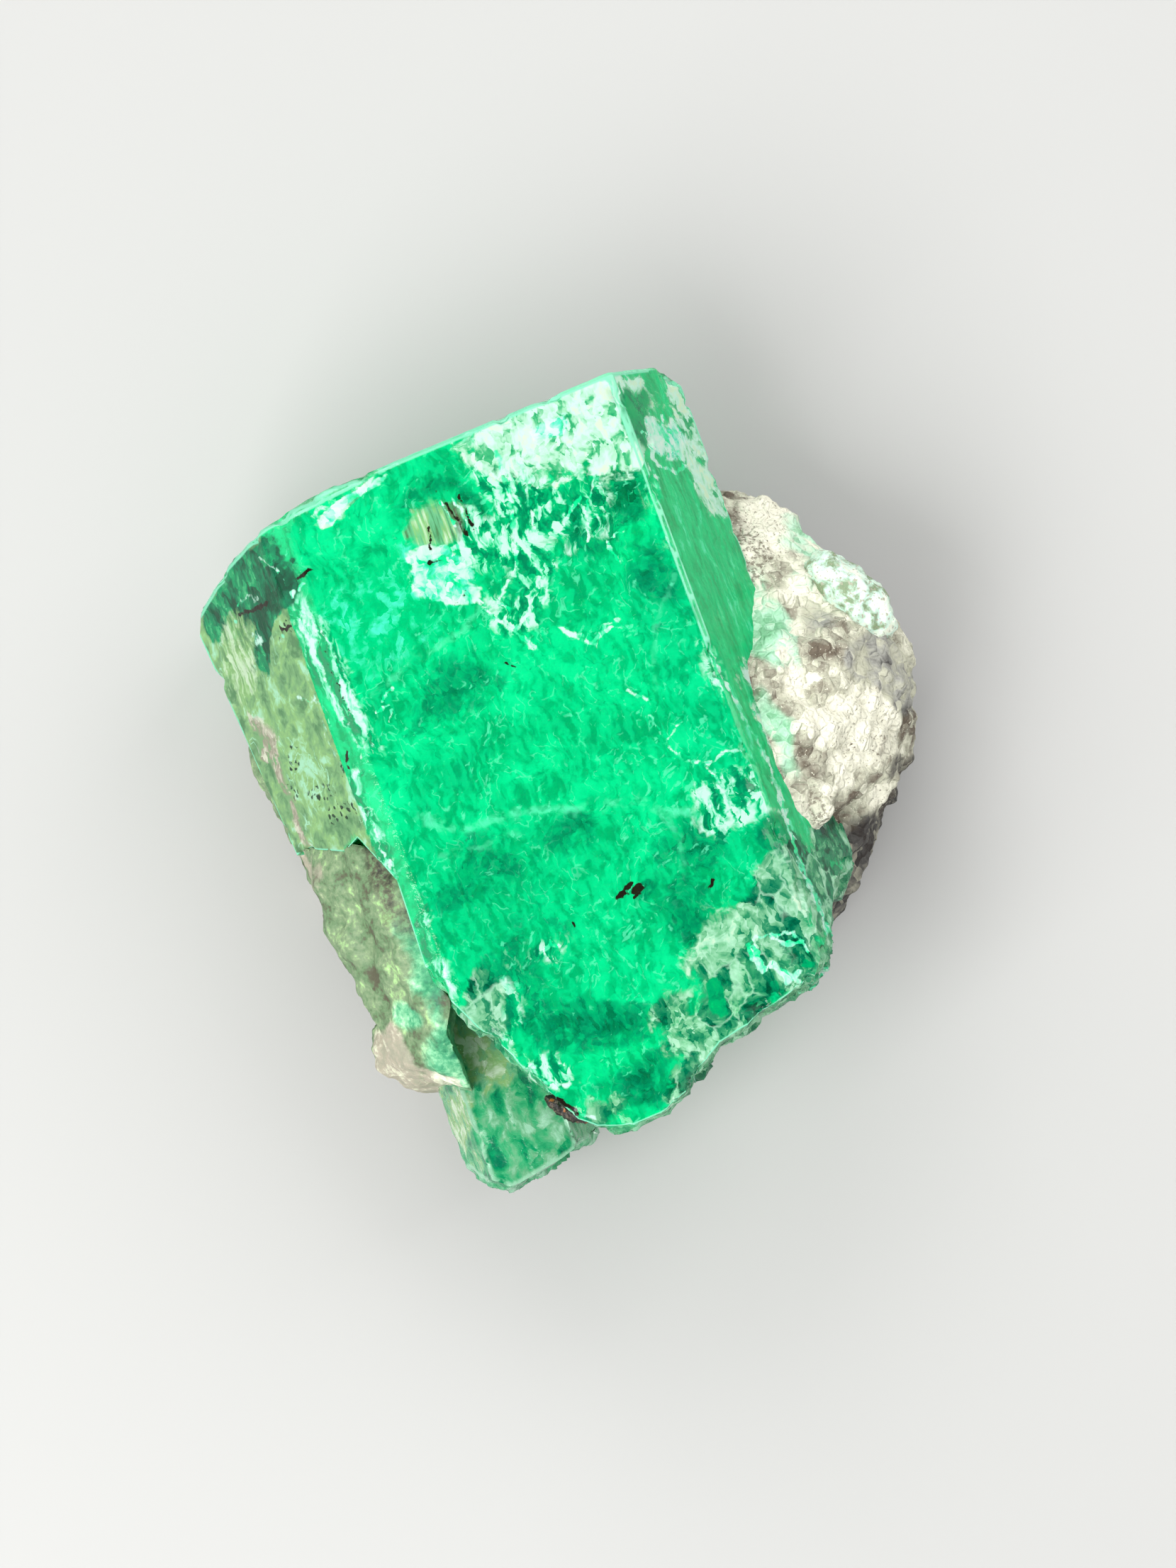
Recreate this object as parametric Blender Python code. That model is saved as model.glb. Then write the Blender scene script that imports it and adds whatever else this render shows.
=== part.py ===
"""Emerald crystal in its matrix: a stout six-sided prism lying on its back face, with rock on its flanks.

+X runs across the crystal, +Y along its axis to the intact end, and +Z up out of its broad front face.
Lengths are written in millimetres and turned into metres by MM.
"""

import math

import bmesh
import bpy
from mathutils import Matrix, Vector, noise
from mathutils.geometry import intersect_line_line_2d

MM = 0.001
GAP = 0.2

# Cross-section of the main crystal: flats at 60 degrees, the left edge drawn in towards the broken end.
FRONT_Z = 7.40
FRONT_LEFT_X = -3.38
FRONT_RIGHT_X = 5.13
SHOULDER_WIDTH = 0.58
SHOULDER_DROP = 0.28
RIGHT_EDGE_X = 6.62
LEFT_EDGE_X = -5.74
LEFT_EDGE_X_LOW = -4.76
FLANK_SLOPE = math.tan(math.radians(60))
SECTION_MIDDLE = Vector((0.6, 3.7))

# Length of the main crystal: the intact end, and where the left edge's lower place is measured.
TOP_Y = 7.60
TAPER_Y = -5.0
STOCK_Y = -10.0
BEYOND_Y = -12.0
EDGE_BEVEL = 0.09

# Planes that finish the intact end: a point (x, y) on each and the way it faces in the XY plane.
TOP_CUTS = (
    ((2.0, 7.34), (-0.045, 1.0)),
    ((-1.9, 7.19), (-0.22, 0.97)),
    ((-4.3, 6.66), (-0.46, 0.89)),
    ((-5.60, 5.66), (-0.90, 0.43)),
    ((6.38, 7.33), (0.70, 0.71)),
)
TOP_FRONT_CHIP = ((-1.6, 7.05, 7.40), (-0.10, 0.80, 0.60))

# The broken end at the front face, from left to right: x, and how far the face reaches.
BREAK_LINE = (
    (-6.0, -3.00), (-3.22, -3.60), (-2.69, -4.88), (-2.12, -5.81), (-1.71, -6.70), (-1.06, -7.95),
    (-0.28, -8.32), (0.53, -8.34), (1.28, -8.06), (1.75, -7.78), (2.09, -7.35), (3.10, -7.08),
    (3.73, -6.85), (4.89, -6.69), (5.16, -6.18), (5.54, -5.50), (5.76, -5.03), (6.70, -4.20),
)
BREAK_BACK_Y = -6.6
BREAK_SPAN = ((-6.0, 7.2), (-0.5, 7.9))
BREAK_GRID = (38, 26)

# Ledges of the broken end, from the front face down: the height of each, and how far it steps back.
BREAK_LEDGES = ((6.2, 0.30), (4.1, 0.45), (1.9, 0.35))

# Shell-shaped hollows of a broken surface: their size, depth and the finer roughness on them.
SHELL_SIZE = 1.6
SHELL_DEPTH = 0.34
SHELL_ROUGHNESS = 0.16

# Where the left flank has come away and rock takes its place, in plan, and the heights that the cut spans.
LEFT_BREAK = (
    (-6.5, 0.20), (-4.80, 0.10), (-4.00, -0.38), (-3.62, -0.25), (-3.10, -1.50),
    (-3.16, -3.40), (-3.00, -5.00), (-3.00, -9.5), (-6.5, -9.5),
)
LEFT_BREAK_OUTER_X = -6.5
LEFT_BREAK_Z = (-1.5, 9.0)

# The small crystal under the broken corner.
LOWER_X = (-4.00, -0.86)
LOWER_Z = (1.15, 4.70)
LOWER_INSET = 0.56
LOWER_TOP_Y = -4.3
LOWER_BREAK_BACK_Y = -7.6
LOWER_BREAK_SPAN = ((-4.3, -0.5), (0.6, 5.2))
LOWER_BREAK_GRID = (16, 14)
LOWER_BREAK = (
    (-4.3, -7.40), (-3.95, -7.62), (-3.58, -8.20), (-3.08, -8.55), (-2.32, -8.40), (-1.56, -8.25),
    (-0.93, -8.00), (-0.5, -7.90),
)

# Plans of the rock, each an outline around a middle, as seen from above.
RIGHT_ROCK_PLAN = (
    (3.20, 4.30), (4.80, 4.75), (6.60, 4.80), (7.55, 4.30), (8.00, 3.50), (8.40, 2.75), (9.05, 1.80),
    (9.42, 0.98), (9.40, 0.20), (9.15, -1.05), (8.70, -2.05), (7.95, -3.05), (7.15, -3.85), (6.30, -4.90),
    (4.90, -5.90), (3.40, -5.80), (2.20, -2.00), (2.20, 2.00),
)
RIGHT_ROCK_MIDDLE = (5.20, -0.30)
LEFT_ROCK_PLAN = (
    (-4.95, 0.45), (-4.98, -1.20), (-4.86, -2.60), (-4.80, -3.90), (-4.60, -5.20), (-3.95, -5.80),
    (-3.70, -6.60), (-3.00, -6.70), (-2.40, -6.00), (-2.20, -4.00), (-2.40, -1.50), (-2.90, 0.20),
    (-3.90, 0.60),
)
LEFT_ROCK_MIDDLE = (-3.80, -2.90)
STRIP_PLAN = (
    (-5.05, -1.50), (-5.20, 0.60), (-5.42, 2.20), (-5.40, 3.40), (-4.80, 4.60), (-4.00, 4.80),
    (-3.00, 3.40), (-2.40, 0.60), (-3.10, -1.60),
)
STRIP_MIDDLE = (-4.10, 1.30)
KNOB_PLAN = (
    (-4.90, -3.95), (-5.10, -4.50), (-4.98, -5.10), (-4.50, -5.66), (-3.98, -6.05), (-3.20, -5.90),
    (-3.30, -4.80), (-4.00, -3.90),
)
KNOB_MIDDLE = (-4.15, -4.85)
GRAIN_PLAN = (
    (7.75, 2.35), (8.25, 2.60), (8.95, 1.80), (9.36, 1.06), (9.32, 0.35), (8.90, 0.05), (8.30, 0.55),
    (7.90, 1.30),
)
GRAIN_MIDDLE = (8.45, 1.25)

# Heights of each lump: its underside, its widest level and its top. One from below 0 lies flat on z = 0.
RIGHT_ROCK_LEVELS = (-1.2, 2.9)
LEFT_ROCK_LEVELS = (-1.2, 3.2)
STRIP_LEVELS = (-0.8, 1.9)
KNOB_LEVELS = (0.9, 2.8)
GRAIN_LEVELS = (3.3, 4.2)
RIGHT_ROCK_TOPS = (5.0, 7.0)
RIGHT_ROCK_CLIMB_Y = (4.6, -1.4)
RIGHT_ROCK_FALL = 0.35
RIGHT_ROCK_FALL_X = 5.6
LEFT_ROCK_TOP = 7.0
STRIP_TOP = 3.7
KNOB_TOP = 4.5
GRAIN_TOP = 5.25

# Flat breaks pressed into the rocks: a point on each and the way it faces.
RIGHT_ROCK_BREAKS = (
    ((8.35, -2.50, 4.60), (0.62, -0.60, 0.50)),
    ((8.30, 2.90, 4.00), (0.62, 0.55, 0.56)),
    ((9.05, 0.20, 2.00), (0.90, 0.0, -0.44)),
    ((6.40, 4.60, 2.40), (-0.10, 0.95, -0.30)),
)
LEFT_ROCK_BREAKS = (
    ((-4.60, -2.20, 5.20), (-0.84, -0.05, 0.54)),
    ((-3.60, -6.30, 4.80), (-0.30, -0.80, 0.52)),
    ((-4.70, -3.00, 1.40), (-0.88, 0.10, -0.46)),
)

# Relief of the rocks: swellings and knots of these sizes, and ledges along the bedding.
SWELL_SIZE = 1.5
KNOT_SIZE = 0.7
BEDDING = Vector((0.50, -0.25, 0.83)).normalized()
LEDGE_HEIGHT = 0.95

# The sliver of shale between the crystals, from end to end.
SLIVER_ENDS = ((-1.72, -6.95), (-1.02, -7.78))
SLIVER_HALF_WIDTH = 0.15

COLOURS = {
    "emerald": ((0.0, 0.48, 0.22, 1.0), 0.12),
    "pale_emerald": ((0.12, 0.52, 0.30, 1.0), 0.2),
    "calcite_rock": ((0.62, 0.58, 0.50, 1.0), 0.75),
    "crust_rock": ((0.36, 0.40, 0.30, 1.0), 0.7),
    "pale_beryl": ((0.62, 0.80, 0.68, 1.0), 0.35),
    "shale": ((0.05, 0.04, 0.02, 1.0), 0.6),
}


def clear_scene():
    """Removes what the startup file holds."""
    for obj in list(bpy.data.objects):
        bpy.data.objects.remove(obj)


def material(slot):
    """The plain finish of one mineral."""
    made = bpy.data.materials.get(slot) or bpy.data.materials.new(slot)
    made.use_nodes = True
    colour, roughness = COLOURS[slot]
    shader = made.node_tree.nodes["Principled BSDF"]
    shader.inputs["Base Color"].default_value = colour
    shader.inputs["Roughness"].default_value = roughness
    return made


def to_object(name, bm, slot):
    """Turns a bmesh in millimetres into an object in metres."""
    bmesh.ops.recalc_face_normals(bm, faces=bm.faces)
    bmesh.ops.scale(bm, vec=(MM, MM, MM), verts=bm.verts)
    mesh = bpy.data.meshes.new(name)
    bm.to_mesh(mesh)
    bm.free()
    mesh.materials.append(material(slot))
    obj = bpy.data.objects.new(name, mesh)
    bpy.context.scene.collection.objects.link(obj)
    return obj


def bake_boolean(obj, other, operation):
    """Joins or cuts obj with other, keeps the result as its mesh, and removes the other."""
    step = obj.modifiers.new("shape", "BOOLEAN")
    step.operation = operation
    step.solver = "EXACT"
    step.object = other
    bpy.context.view_layer.update()
    graph = bpy.context.evaluated_depsgraph_get()
    made = bpy.data.meshes.new_from_object(obj.evaluated_get(graph))
    obj.modifiers.clear()
    obj.data = made
    bpy.data.objects.remove(other)


def smooth_step(t):
    """Eases from 0 to 1."""
    t = min(1.0, max(0.0, t))
    return t * t * (3 - 2 * t)


def along(line, x):
    """The height of a line of (x, y) points at x."""
    for (x0, y0), (x1, y1) in zip(line, line[1:]):
        if x <= x1:
            return y0 + (y1 - y0) * max(0.0, (x - x0) / (x1 - x0))
    return line[-1][1]


def crystal_section(left_x, grow):
    """The main crystal's seven corners as (x, z), moved out from the faces by grow."""
    flank_left_z = FRONT_Z - SHOULDER_DROP - (FRONT_LEFT_X - left_x) * FLANK_SLOPE
    flank_right_z = FRONT_Z - (RIGHT_EDGE_X - FRONT_RIGHT_X) * FLANK_SLOPE
    corners = [
        (FRONT_LEFT_X, FRONT_Z - SHOULDER_DROP),
        (FRONT_LEFT_X + SHOULDER_WIDTH, FRONT_Z),
        (FRONT_RIGHT_X, FRONT_Z),
        (RIGHT_EDGE_X, flank_right_z),
        (RIGHT_EDGE_X - flank_right_z / FLANK_SLOPE, 0.0),
        (left_x + flank_left_z / FLANK_SLOPE, 0.0),
        (left_x, flank_left_z),
    ]
    if not grow:
        return corners
    grown = []
    for i, corner in enumerate(corners):
        here, before, after = Vector(corner), Vector(corners[i - 1]), Vector(corners[(i + 1) % len(corners)])
        normals = []
        for a, b in ((before, here), (here, after)):
            run = (b - a).normalized()
            normal = Vector((-run.y, run.x))
            normals.append(normal if normal.dot(here - SECTION_MIDDLE) > 0 else -normal)
        mitre = (normals[0] + normals[1]).normalized()
        grown.append(tuple(here + mitre * (grow / mitre.dot(normals[0]))))
    return grown


def prism(sections):
    """A closed solid through (y, corners) sections, with its sides as plane as the corners allow."""
    bm = bmesh.new()
    rings = [[bm.verts.new((x, y, z)) for x, z in corners] for y, corners in sections]
    for near, far in zip(rings, rings[1:]):
        for i in range(len(near)):
            j = (i + 1) % len(near)
            bm.faces.new((near[i], near[j], far[j], far[i]))
    bm.faces.new(rings[0])
    bm.faces.new(rings[-1])
    return bm


def slice_off(bm, point, facing):
    """Cuts away what lies beyond a plane and closes the cut with one face."""
    everything = bm.verts[:] + bm.edges[:] + bm.faces[:]
    cut = bmesh.ops.bisect_plane(bm, geom=everything, plane_co=point, plane_no=facing, clear_outer=True)
    rim = [e for e in cut["geom_cut"] if isinstance(e, bmesh.types.BMEdge)]
    if rim:
        bmesh.ops.edgenet_fill(bm, edges=rim)


def conchoidal(x, z):
    """Shell-like relief of a broken surface."""
    spot = Vector((x / SHELL_SIZE, 3.7, z / SHELL_SIZE))
    shell = noise.voronoi(spot)[0][0]
    return SHELL_DEPTH * (0.5 - shell) + SHELL_ROUGHNESS * noise.noise(spot * 2.3)


def wander(x, seed):
    """How far a ledge strays up and down along its length."""
    return 0.9 * noise.noise(Vector((x * 0.45, seed, 0.0)))


def break_cutter(line, back_y, top_z, span, grid, ledges=()):
    """A block beyond the broken end, whose near side is the relief of the break."""
    span_x, span_z = span
    bm = bmesh.new()
    bmesh.ops.create_grid(bm, x_segments=grid[0], y_segments=grid[1], size=0.5)
    for vert in bm.verts:
        x = span_x[0] + (vert.co.x + 0.5) * (span_x[1] - span_x[0])
        z = span_z[0] + (vert.co.y + 0.5) * (span_z[1] - span_z[0])
        depth = smooth_step((top_z - z) / top_z)
        front = along(line, x)
        rough = smooth_step((top_z - z) / 1.2)
        stepped = sum(back * smooth_step((low - z + wander(x, low)) / 0.3) for low, back in ledges)
        y = front + (back_y - front) * depth * 0.6 + stepped + conchoidal(x, z) * (0.35 + 0.65 * rough)
        vert.co = (x, y, z)
    grown = bmesh.ops.extrude_face_region(bm, geom=bm.faces[:])
    for item in grown["geom"]:
        if isinstance(item, bmesh.types.BMVert):
            item.co.y = BEYOND_Y
    return to_object("break_cutter", bm, "shale")


def left_break(shrink=0.0):
    """An upright block over the place of the lost left flank, smaller by shrink on its inner sides."""
    low_z, high_z = LEFT_BREAK_Z
    bm = bmesh.new()
    corners = [(x if x == LEFT_BREAK_OUTER_X else x - shrink, y - shrink) for x, y in LEFT_BREAK]
    base = bm.faces.new([bm.verts.new((x, y, low_z)) for x, y in corners])
    grown = bmesh.ops.extrude_face_region(bm, geom=[base])
    raised = [item for item in grown["geom"] if isinstance(item, bmesh.types.BMVert)]
    bmesh.ops.translate(bm, verts=raised, vec=(0, 0, high_z - low_z))
    return to_object("left_break", bm, "shale")


def reach(plan, middle, angle):
    """How far a plan reaches from its middle at an angle."""
    start = Vector(middle)
    far = start + Vector((math.cos(angle), math.sin(angle))) * 30
    hits = []
    for i, corner in enumerate(plan):
        hit = intersect_line_line_2d(start, far, Vector(corner), Vector(plan[i - 1]))
        if hit is not None:
            hits.append((hit - start).length)
    return max(hits) if hits else 0.5


def pressed(spot, breaks):
    """A point moved back onto each flat break that it lies beyond."""
    for point, facing in breaks:
        normal = Vector(facing).normalized()
        beyond = (spot - Vector(point)).dot(normal)
        if beyond > 0:
            spot = spot - normal * beyond
    return spot


def lump(name, plan, middle, levels, top, slot, relief=0.16, fineness=4, breaks=(), grow=0.0):
    """A lump of rock: a ball drawn out to its plan. top is its height, or a function of place for it."""
    base_z, waist_z = levels
    bm = bmesh.new()
    bmesh.ops.create_icosphere(bm, subdivisions=fineness, radius=1.0)
    for vert in bm.verts:
        way = vert.co.normalized()
        angle = math.atan2(way.y, way.x)
        out = (reach(plan, middle, angle) + grow) * math.hypot(way.x, way.y) ** 0.75
        x = middle[0] + math.cos(angle) * out
        y = middle[1] + math.sin(angle) * out
        top_z = top(x, y) if callable(top) else top
        span = top_z - waist_z + grow if way.z > 0 else base_z - waist_z - grow
        spot = pressed(Vector((x, y, waist_z + span * abs(way.z) ** 0.65)), breaks)
        swell = 0.5 - noise.voronoi(spot / SWELL_SIZE)[0][0]
        knots = 0.5 - noise.voronoi(spot / KNOT_SIZE)[0][0]
        rise = (spot.dot(BEDDING) / LEDGE_HEIGHT) % 1.0
        ledge = smooth_step((rise - 0.35) / 0.3) - rise
        spot += way * (relief * (1.5 * swell + 0.8 * knots + 0.7 * noise.noise(spot * 1.9) + 1.1 * ledge))
        spot.z = max(spot.z, 0.0)
        vert.co = spot
    bmesh.ops.dissolve_degenerate(bm, dist=0.001, edges=bm.edges)
    return to_object(name, bm, slot)


def main_stock(grow=0.0):
    """The main crystal before it was broken: a tapering prism with its intact end cut to shape."""
    low_x = LEFT_EDGE_X + (LEFT_EDGE_X_LOW - LEFT_EDGE_X) * (TOP_Y - STOCK_Y) / (TOP_Y - TAPER_Y)
    bm = prism((
        (STOCK_Y, crystal_section(low_x, grow)),
        (TOP_Y + grow, crystal_section(LEFT_EDGE_X, grow)),
    ))
    for (x, y), (nx, ny) in TOP_CUTS:
        facing = Vector((nx, ny, 0.0)).normalized()
        slice_off(bm, Vector((x, y, 0.0)) + facing * grow, facing)
    return bm


def main_crystal():
    """The large emerald: intact and bevelled at one end, broken at the other and down its left flank."""
    bm = main_stock()
    point, facing = TOP_FRONT_CHIP
    slice_off(bm, Vector(point), Vector(facing).normalized())
    bmesh.ops.bevel(
        bm, geom=bm.edges[:], offset=EDGE_BEVEL, affect="EDGES", segments=1, profile=0.5,
        material=-1, clamp_overlap=True,
    )
    bmesh.ops.remove_doubles(bm, verts=bm.verts, dist=0.005)
    crystal = to_object("emerald_crystal", bm, "emerald")
    cutter = break_cutter(BREAK_LINE, BREAK_BACK_Y, FRONT_Z, BREAK_SPAN, BREAK_GRID, BREAK_LEDGES)
    bake_boolean(crystal, cutter, "DIFFERENCE")
    bake_boolean(crystal, left_break(), "DIFFERENCE")
    bake_boolean(crystal, lower_stock("socket", GAP), "DIFFERENCE")
    return crystal


def lower_stock(name, grow=0.0):
    """The small crystal as a whole six-sided prism, grown out all round when it serves as a cutter."""
    (x0, x1), (z0, z1) = LOWER_X, LOWER_Z
    x0, x1, z0, z1 = x0 - grow, x1 + grow, z0 - grow, z1 + grow
    middle_z = (z0 + z1) / 2
    x0_in, x1_in = x0 + LOWER_INSET, x1 - LOWER_INSET
    corners = ((x0, middle_z), (x0_in, z1), (x1_in, z1), (x1, middle_z), (x1_in, z0), (x0_in, z0))
    bm = prism(((STOCK_Y, corners), (LOWER_TOP_Y + grow, corners)))
    return to_object(name, bm, "pale_emerald")


def lower_crystal():
    """The small, paler emerald beside the broken corner."""
    crystal = lower_stock("lower_crystal")
    cutter = break_cutter(LOWER_BREAK, LOWER_BREAK_BACK_Y, LOWER_Z[1], LOWER_BREAK_SPAN, LOWER_BREAK_GRID)
    bake_boolean(crystal, cutter, "DIFFERENCE")
    return crystal


def right_rock_top(x, y):
    """The right rock climbs the flank towards the broken end and falls away outwards."""
    (low, high), (start, end) = RIGHT_ROCK_TOPS, RIGHT_ROCK_CLIMB_Y
    crest = low + (high - low) * smooth_step((y - start) / (end - start))
    return crest - RIGHT_ROCK_FALL * max(0.0, x - RIGHT_ROCK_FALL_X)


def right_rock():
    """Cream rock on the right flank, rising along the crystal to near its front face."""
    rock = lump(
        "matrix_right", RIGHT_ROCK_PLAN, RIGHT_ROCK_MIDDLE, RIGHT_ROCK_LEVELS, right_rock_top,
        "calcite_rock", relief=0.2, fineness=5, breaks=RIGHT_ROCK_BREAKS,
    )
    bake_boolean(rock, to_object("bed", main_stock(GAP), "emerald"), "DIFFERENCE")
    bake_boolean(rock, pale_grain("socket", GAP), "DIFFERENCE")
    return rock


def left_rock():
    """Grey-green rock for the lost flank, a strip of it under the flank that is left, and a knob."""
    rock = lump(
        "matrix_left", LEFT_ROCK_PLAN, LEFT_ROCK_MIDDLE, LEFT_ROCK_LEVELS, LEFT_ROCK_TOP,
        "crust_rock", breaks=LEFT_ROCK_BREAKS,
    )
    strip = lump("strip", STRIP_PLAN, STRIP_MIDDLE, STRIP_LEVELS, STRIP_TOP, "crust_rock", relief=0.1)
    bake_boolean(rock, strip, "UNION")
    knob = lump(
        "knob", KNOB_PLAN, KNOB_MIDDLE, KNOB_LEVELS, KNOB_TOP, "crust_rock", relief=0.06, fineness=3,
    )
    bake_boolean(rock, knob, "UNION")
    bed = to_object("bed", main_stock(GAP), "emerald")
    bake_boolean(bed, left_break(shrink=GAP), "DIFFERENCE")
    bake_boolean(rock, bed, "DIFFERENCE")
    bake_boolean(rock, lower_stock("socket", GAP), "DIFFERENCE")
    return rock


def pale_grain(name="beryl_grain", grow=0.0):
    """A smooth grain of pale beryl set in the right rock, grown out all round to serve as a cutter."""
    return lump(
        name, GRAIN_PLAN, GRAIN_MIDDLE, GRAIN_LEVELS, GRAIN_TOP, "pale_beryl",
        relief=0.05, fineness=3, grow=grow,
    )


def shale_sliver():
    """A dark sliver of shale in the cleft between the two crystals."""
    start, end = Vector(SLIVER_ENDS[0]), Vector(SLIVER_ENDS[1])
    run = end - start
    bm = bmesh.new()
    bmesh.ops.create_icosphere(bm, subdivisions=2, radius=1.0)
    bmesh.ops.scale(bm, vec=(run.length / 2, SLIVER_HALF_WIDTH, SLIVER_HALF_WIDTH), verts=bm.verts)
    for vert in bm.verts:
        vert.co += vert.co.normalized() * (0.05 * noise.noise(vert.co * 4))
    turn = Matrix.Rotation(math.atan2(run.y, run.x), 3, "Z")
    bmesh.ops.rotate(bm, matrix=turn, verts=bm.verts)
    middle = (start + end) / 2
    height = LOWER_Z[1] + SLIVER_HALF_WIDTH + 0.1
    bmesh.ops.translate(bm, verts=bm.verts, vec=(middle.x, middle.y, height))
    return to_object("shale_sliver", bm, "shale")


def stand_at_origin(nodes):
    """Moves all the pieces together so that their box stands with its bottom centre on the origin."""
    corners = [vert.co for obj in nodes for vert in obj.data.vertices]
    low = Vector([min(c[i] for c in corners) for i in range(3)])
    high = Vector([max(c[i] for c in corners) for i in range(3)])
    shift = Matrix.Translation((-(low.x + high.x) / 2, -(low.y + high.y) / 2, -low.z))
    for obj in nodes:
        obj.data.transform(shift)


def main():
    clear_scene()
    crystal = main_crystal()
    small = lower_crystal()
    right = right_rock()
    left = left_rock()
    grain = pale_grain()
    sliver = shale_sliver()
    stand_at_origin([crystal, small, right, left, grain, sliver])


main()
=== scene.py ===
"""Looks of the emerald in matrix: fine pieces over the CAD nodes, their minerals, the light and the camera.

The script works in millimetres and turns finished meshes into metres with MM.
"""

import math

import bmesh
import bpy
import numpy as np
from mathutils import Matrix, Vector, noise
from mathutils.bvhtree import BVHTree
from mathutils.kdtree import KDTree


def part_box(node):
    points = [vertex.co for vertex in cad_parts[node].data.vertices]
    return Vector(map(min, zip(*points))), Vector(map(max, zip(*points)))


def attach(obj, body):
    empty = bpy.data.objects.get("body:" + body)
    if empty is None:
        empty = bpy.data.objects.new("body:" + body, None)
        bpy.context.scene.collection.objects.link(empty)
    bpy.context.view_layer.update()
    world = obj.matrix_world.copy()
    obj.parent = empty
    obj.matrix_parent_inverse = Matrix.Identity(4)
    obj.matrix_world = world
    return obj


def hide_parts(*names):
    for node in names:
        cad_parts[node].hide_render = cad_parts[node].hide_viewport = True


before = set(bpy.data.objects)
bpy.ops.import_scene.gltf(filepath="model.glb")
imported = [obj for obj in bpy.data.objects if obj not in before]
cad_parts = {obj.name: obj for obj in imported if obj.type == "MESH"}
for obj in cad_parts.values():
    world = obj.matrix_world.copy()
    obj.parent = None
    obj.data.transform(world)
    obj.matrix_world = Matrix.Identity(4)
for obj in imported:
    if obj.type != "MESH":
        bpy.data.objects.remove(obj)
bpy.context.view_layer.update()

MM = 0.001

# The main crystal's front face: its height, and where its left edge runs.
FRONT_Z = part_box("emerald_crystal")[1].z / MM
FRONT_LEFT_X = -5.38

# Mesh: how far apart points are merged, the first cut into cells, and the longest edge that stays.
WELD = 0.001
CELL = 1.0
CELL_SHIFT = 0.013
FLAT_ANGLE = math.radians(0.6)
SHARP_ANGLE = math.radians(24)
GROWN_AREA = 0.4
REFINE_ROUNDS = 7
CRYSTAL_EDGE = 0.22
MARK_EDGE = 0.055
MARK_REACH = 0.16
ROCK_EDGE = 0.13
SMALL_CRYSTAL_EDGE = 0.12
GRAIN_EDGE = 0.08
SLIVER_EDGE = 0.05
CRYSTAL_CREASE = math.radians(30)
SLIVER_CREASE = math.radians(40)
ROCK_CREASE = math.radians(60)

# Relief of the crystals: growth lines, chips along the edges and the facets of the broken places.
GROWTH_LINES = 0.01
CHIP_REACH = 0.22
CHIP_DEPTH = 0.3
BREAK_FACETS = ((0.95, 0.42), (0.34, 0.45), (0.14, 0.4))
BREAK_FADE = 0.15

# Where the noise that moves painted borders is read, for each direction in plan.
STRAY_SHIFTS = (Vector((9.3, -1.5, -8.0)), Vector((-5.2, 4.4, 2.8)))

# The rock grows onto the crystals: points this near are drawn onto them, and this far in.
BED_REACH = 0.34
BED_FADE = 0.6
BED_OVERLAP = 0.04

# The minerals' optics: how clear they are, how they bend light, and how they soak it up.
CLARITY = 0.5
EMERALD_IOR = 1.58
EMERALD_GLOSS = 0.04
EMERALD_INSIDE = (0.08, 0.97, 0.74, 1.0)
EMERALD_DENSITY = 300.0
PALE_IOR = 1.57
PALE_GLOSS = 0.15
PALE_INSIDE = (0.55, 0.97, 0.75, 1.0)
PALE_DENSITY = 90.0

# Camera: the photograph looks down on the front face, turned by 20 degrees.
TARGET = Vector((-0.441, -0.419, 7.4))
ELEVATION = math.radians(84)
TURN = math.atan2(0.342, 0.94)
LENS = 150.0
SENSOR = 36.0
VIEW_HEIGHT = 34.4

# Colours as they are seen, two hex digits each for red, green and blue.
COLOURS = {
    "forest": "004a34",
    "teal": "007a56",
    "deep green": "00a468",
    "leaf green": "00b26c",
    "body green": "00c87c",
    "face green": "00dc8a",
    "bright green": "0af09a",
    "cyan mint": "50f4d0",
    "fresh mint": "62f6c0",
    "mint": "90f4cc",
    "white mint": "dafff2",
    "white": "f4fffa",
    "cream": "e4f8da",
    "pale mint": "b4ecca",
    "grey mint": "bfdccb",
    "sage": "7fc898",
    "dark sage": "369a6c",
    "olive": "9ac880",
    "flank sage": "84b47e",
    "flank shade": "5c8c60",
    "pit": "1c3a27",
    "pink": "a89a8c",
    "soft green": "42be80",
    "chalk": "e8e6d2",
    "sand": "c0c0aa",
    "beige": "9d9a88",
    "brown": "665b4c",
    "umber": "241c16",
    "grey": "9c9c94",
    "slate": "454340",
    "crust green": "597852",
    "crust pale": "768b68",
    "crust brown": "4a4a36",
    "rust": "9a5a24",
    "black": "100e0c",
    "floor": "a8a8a6",
}

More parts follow.
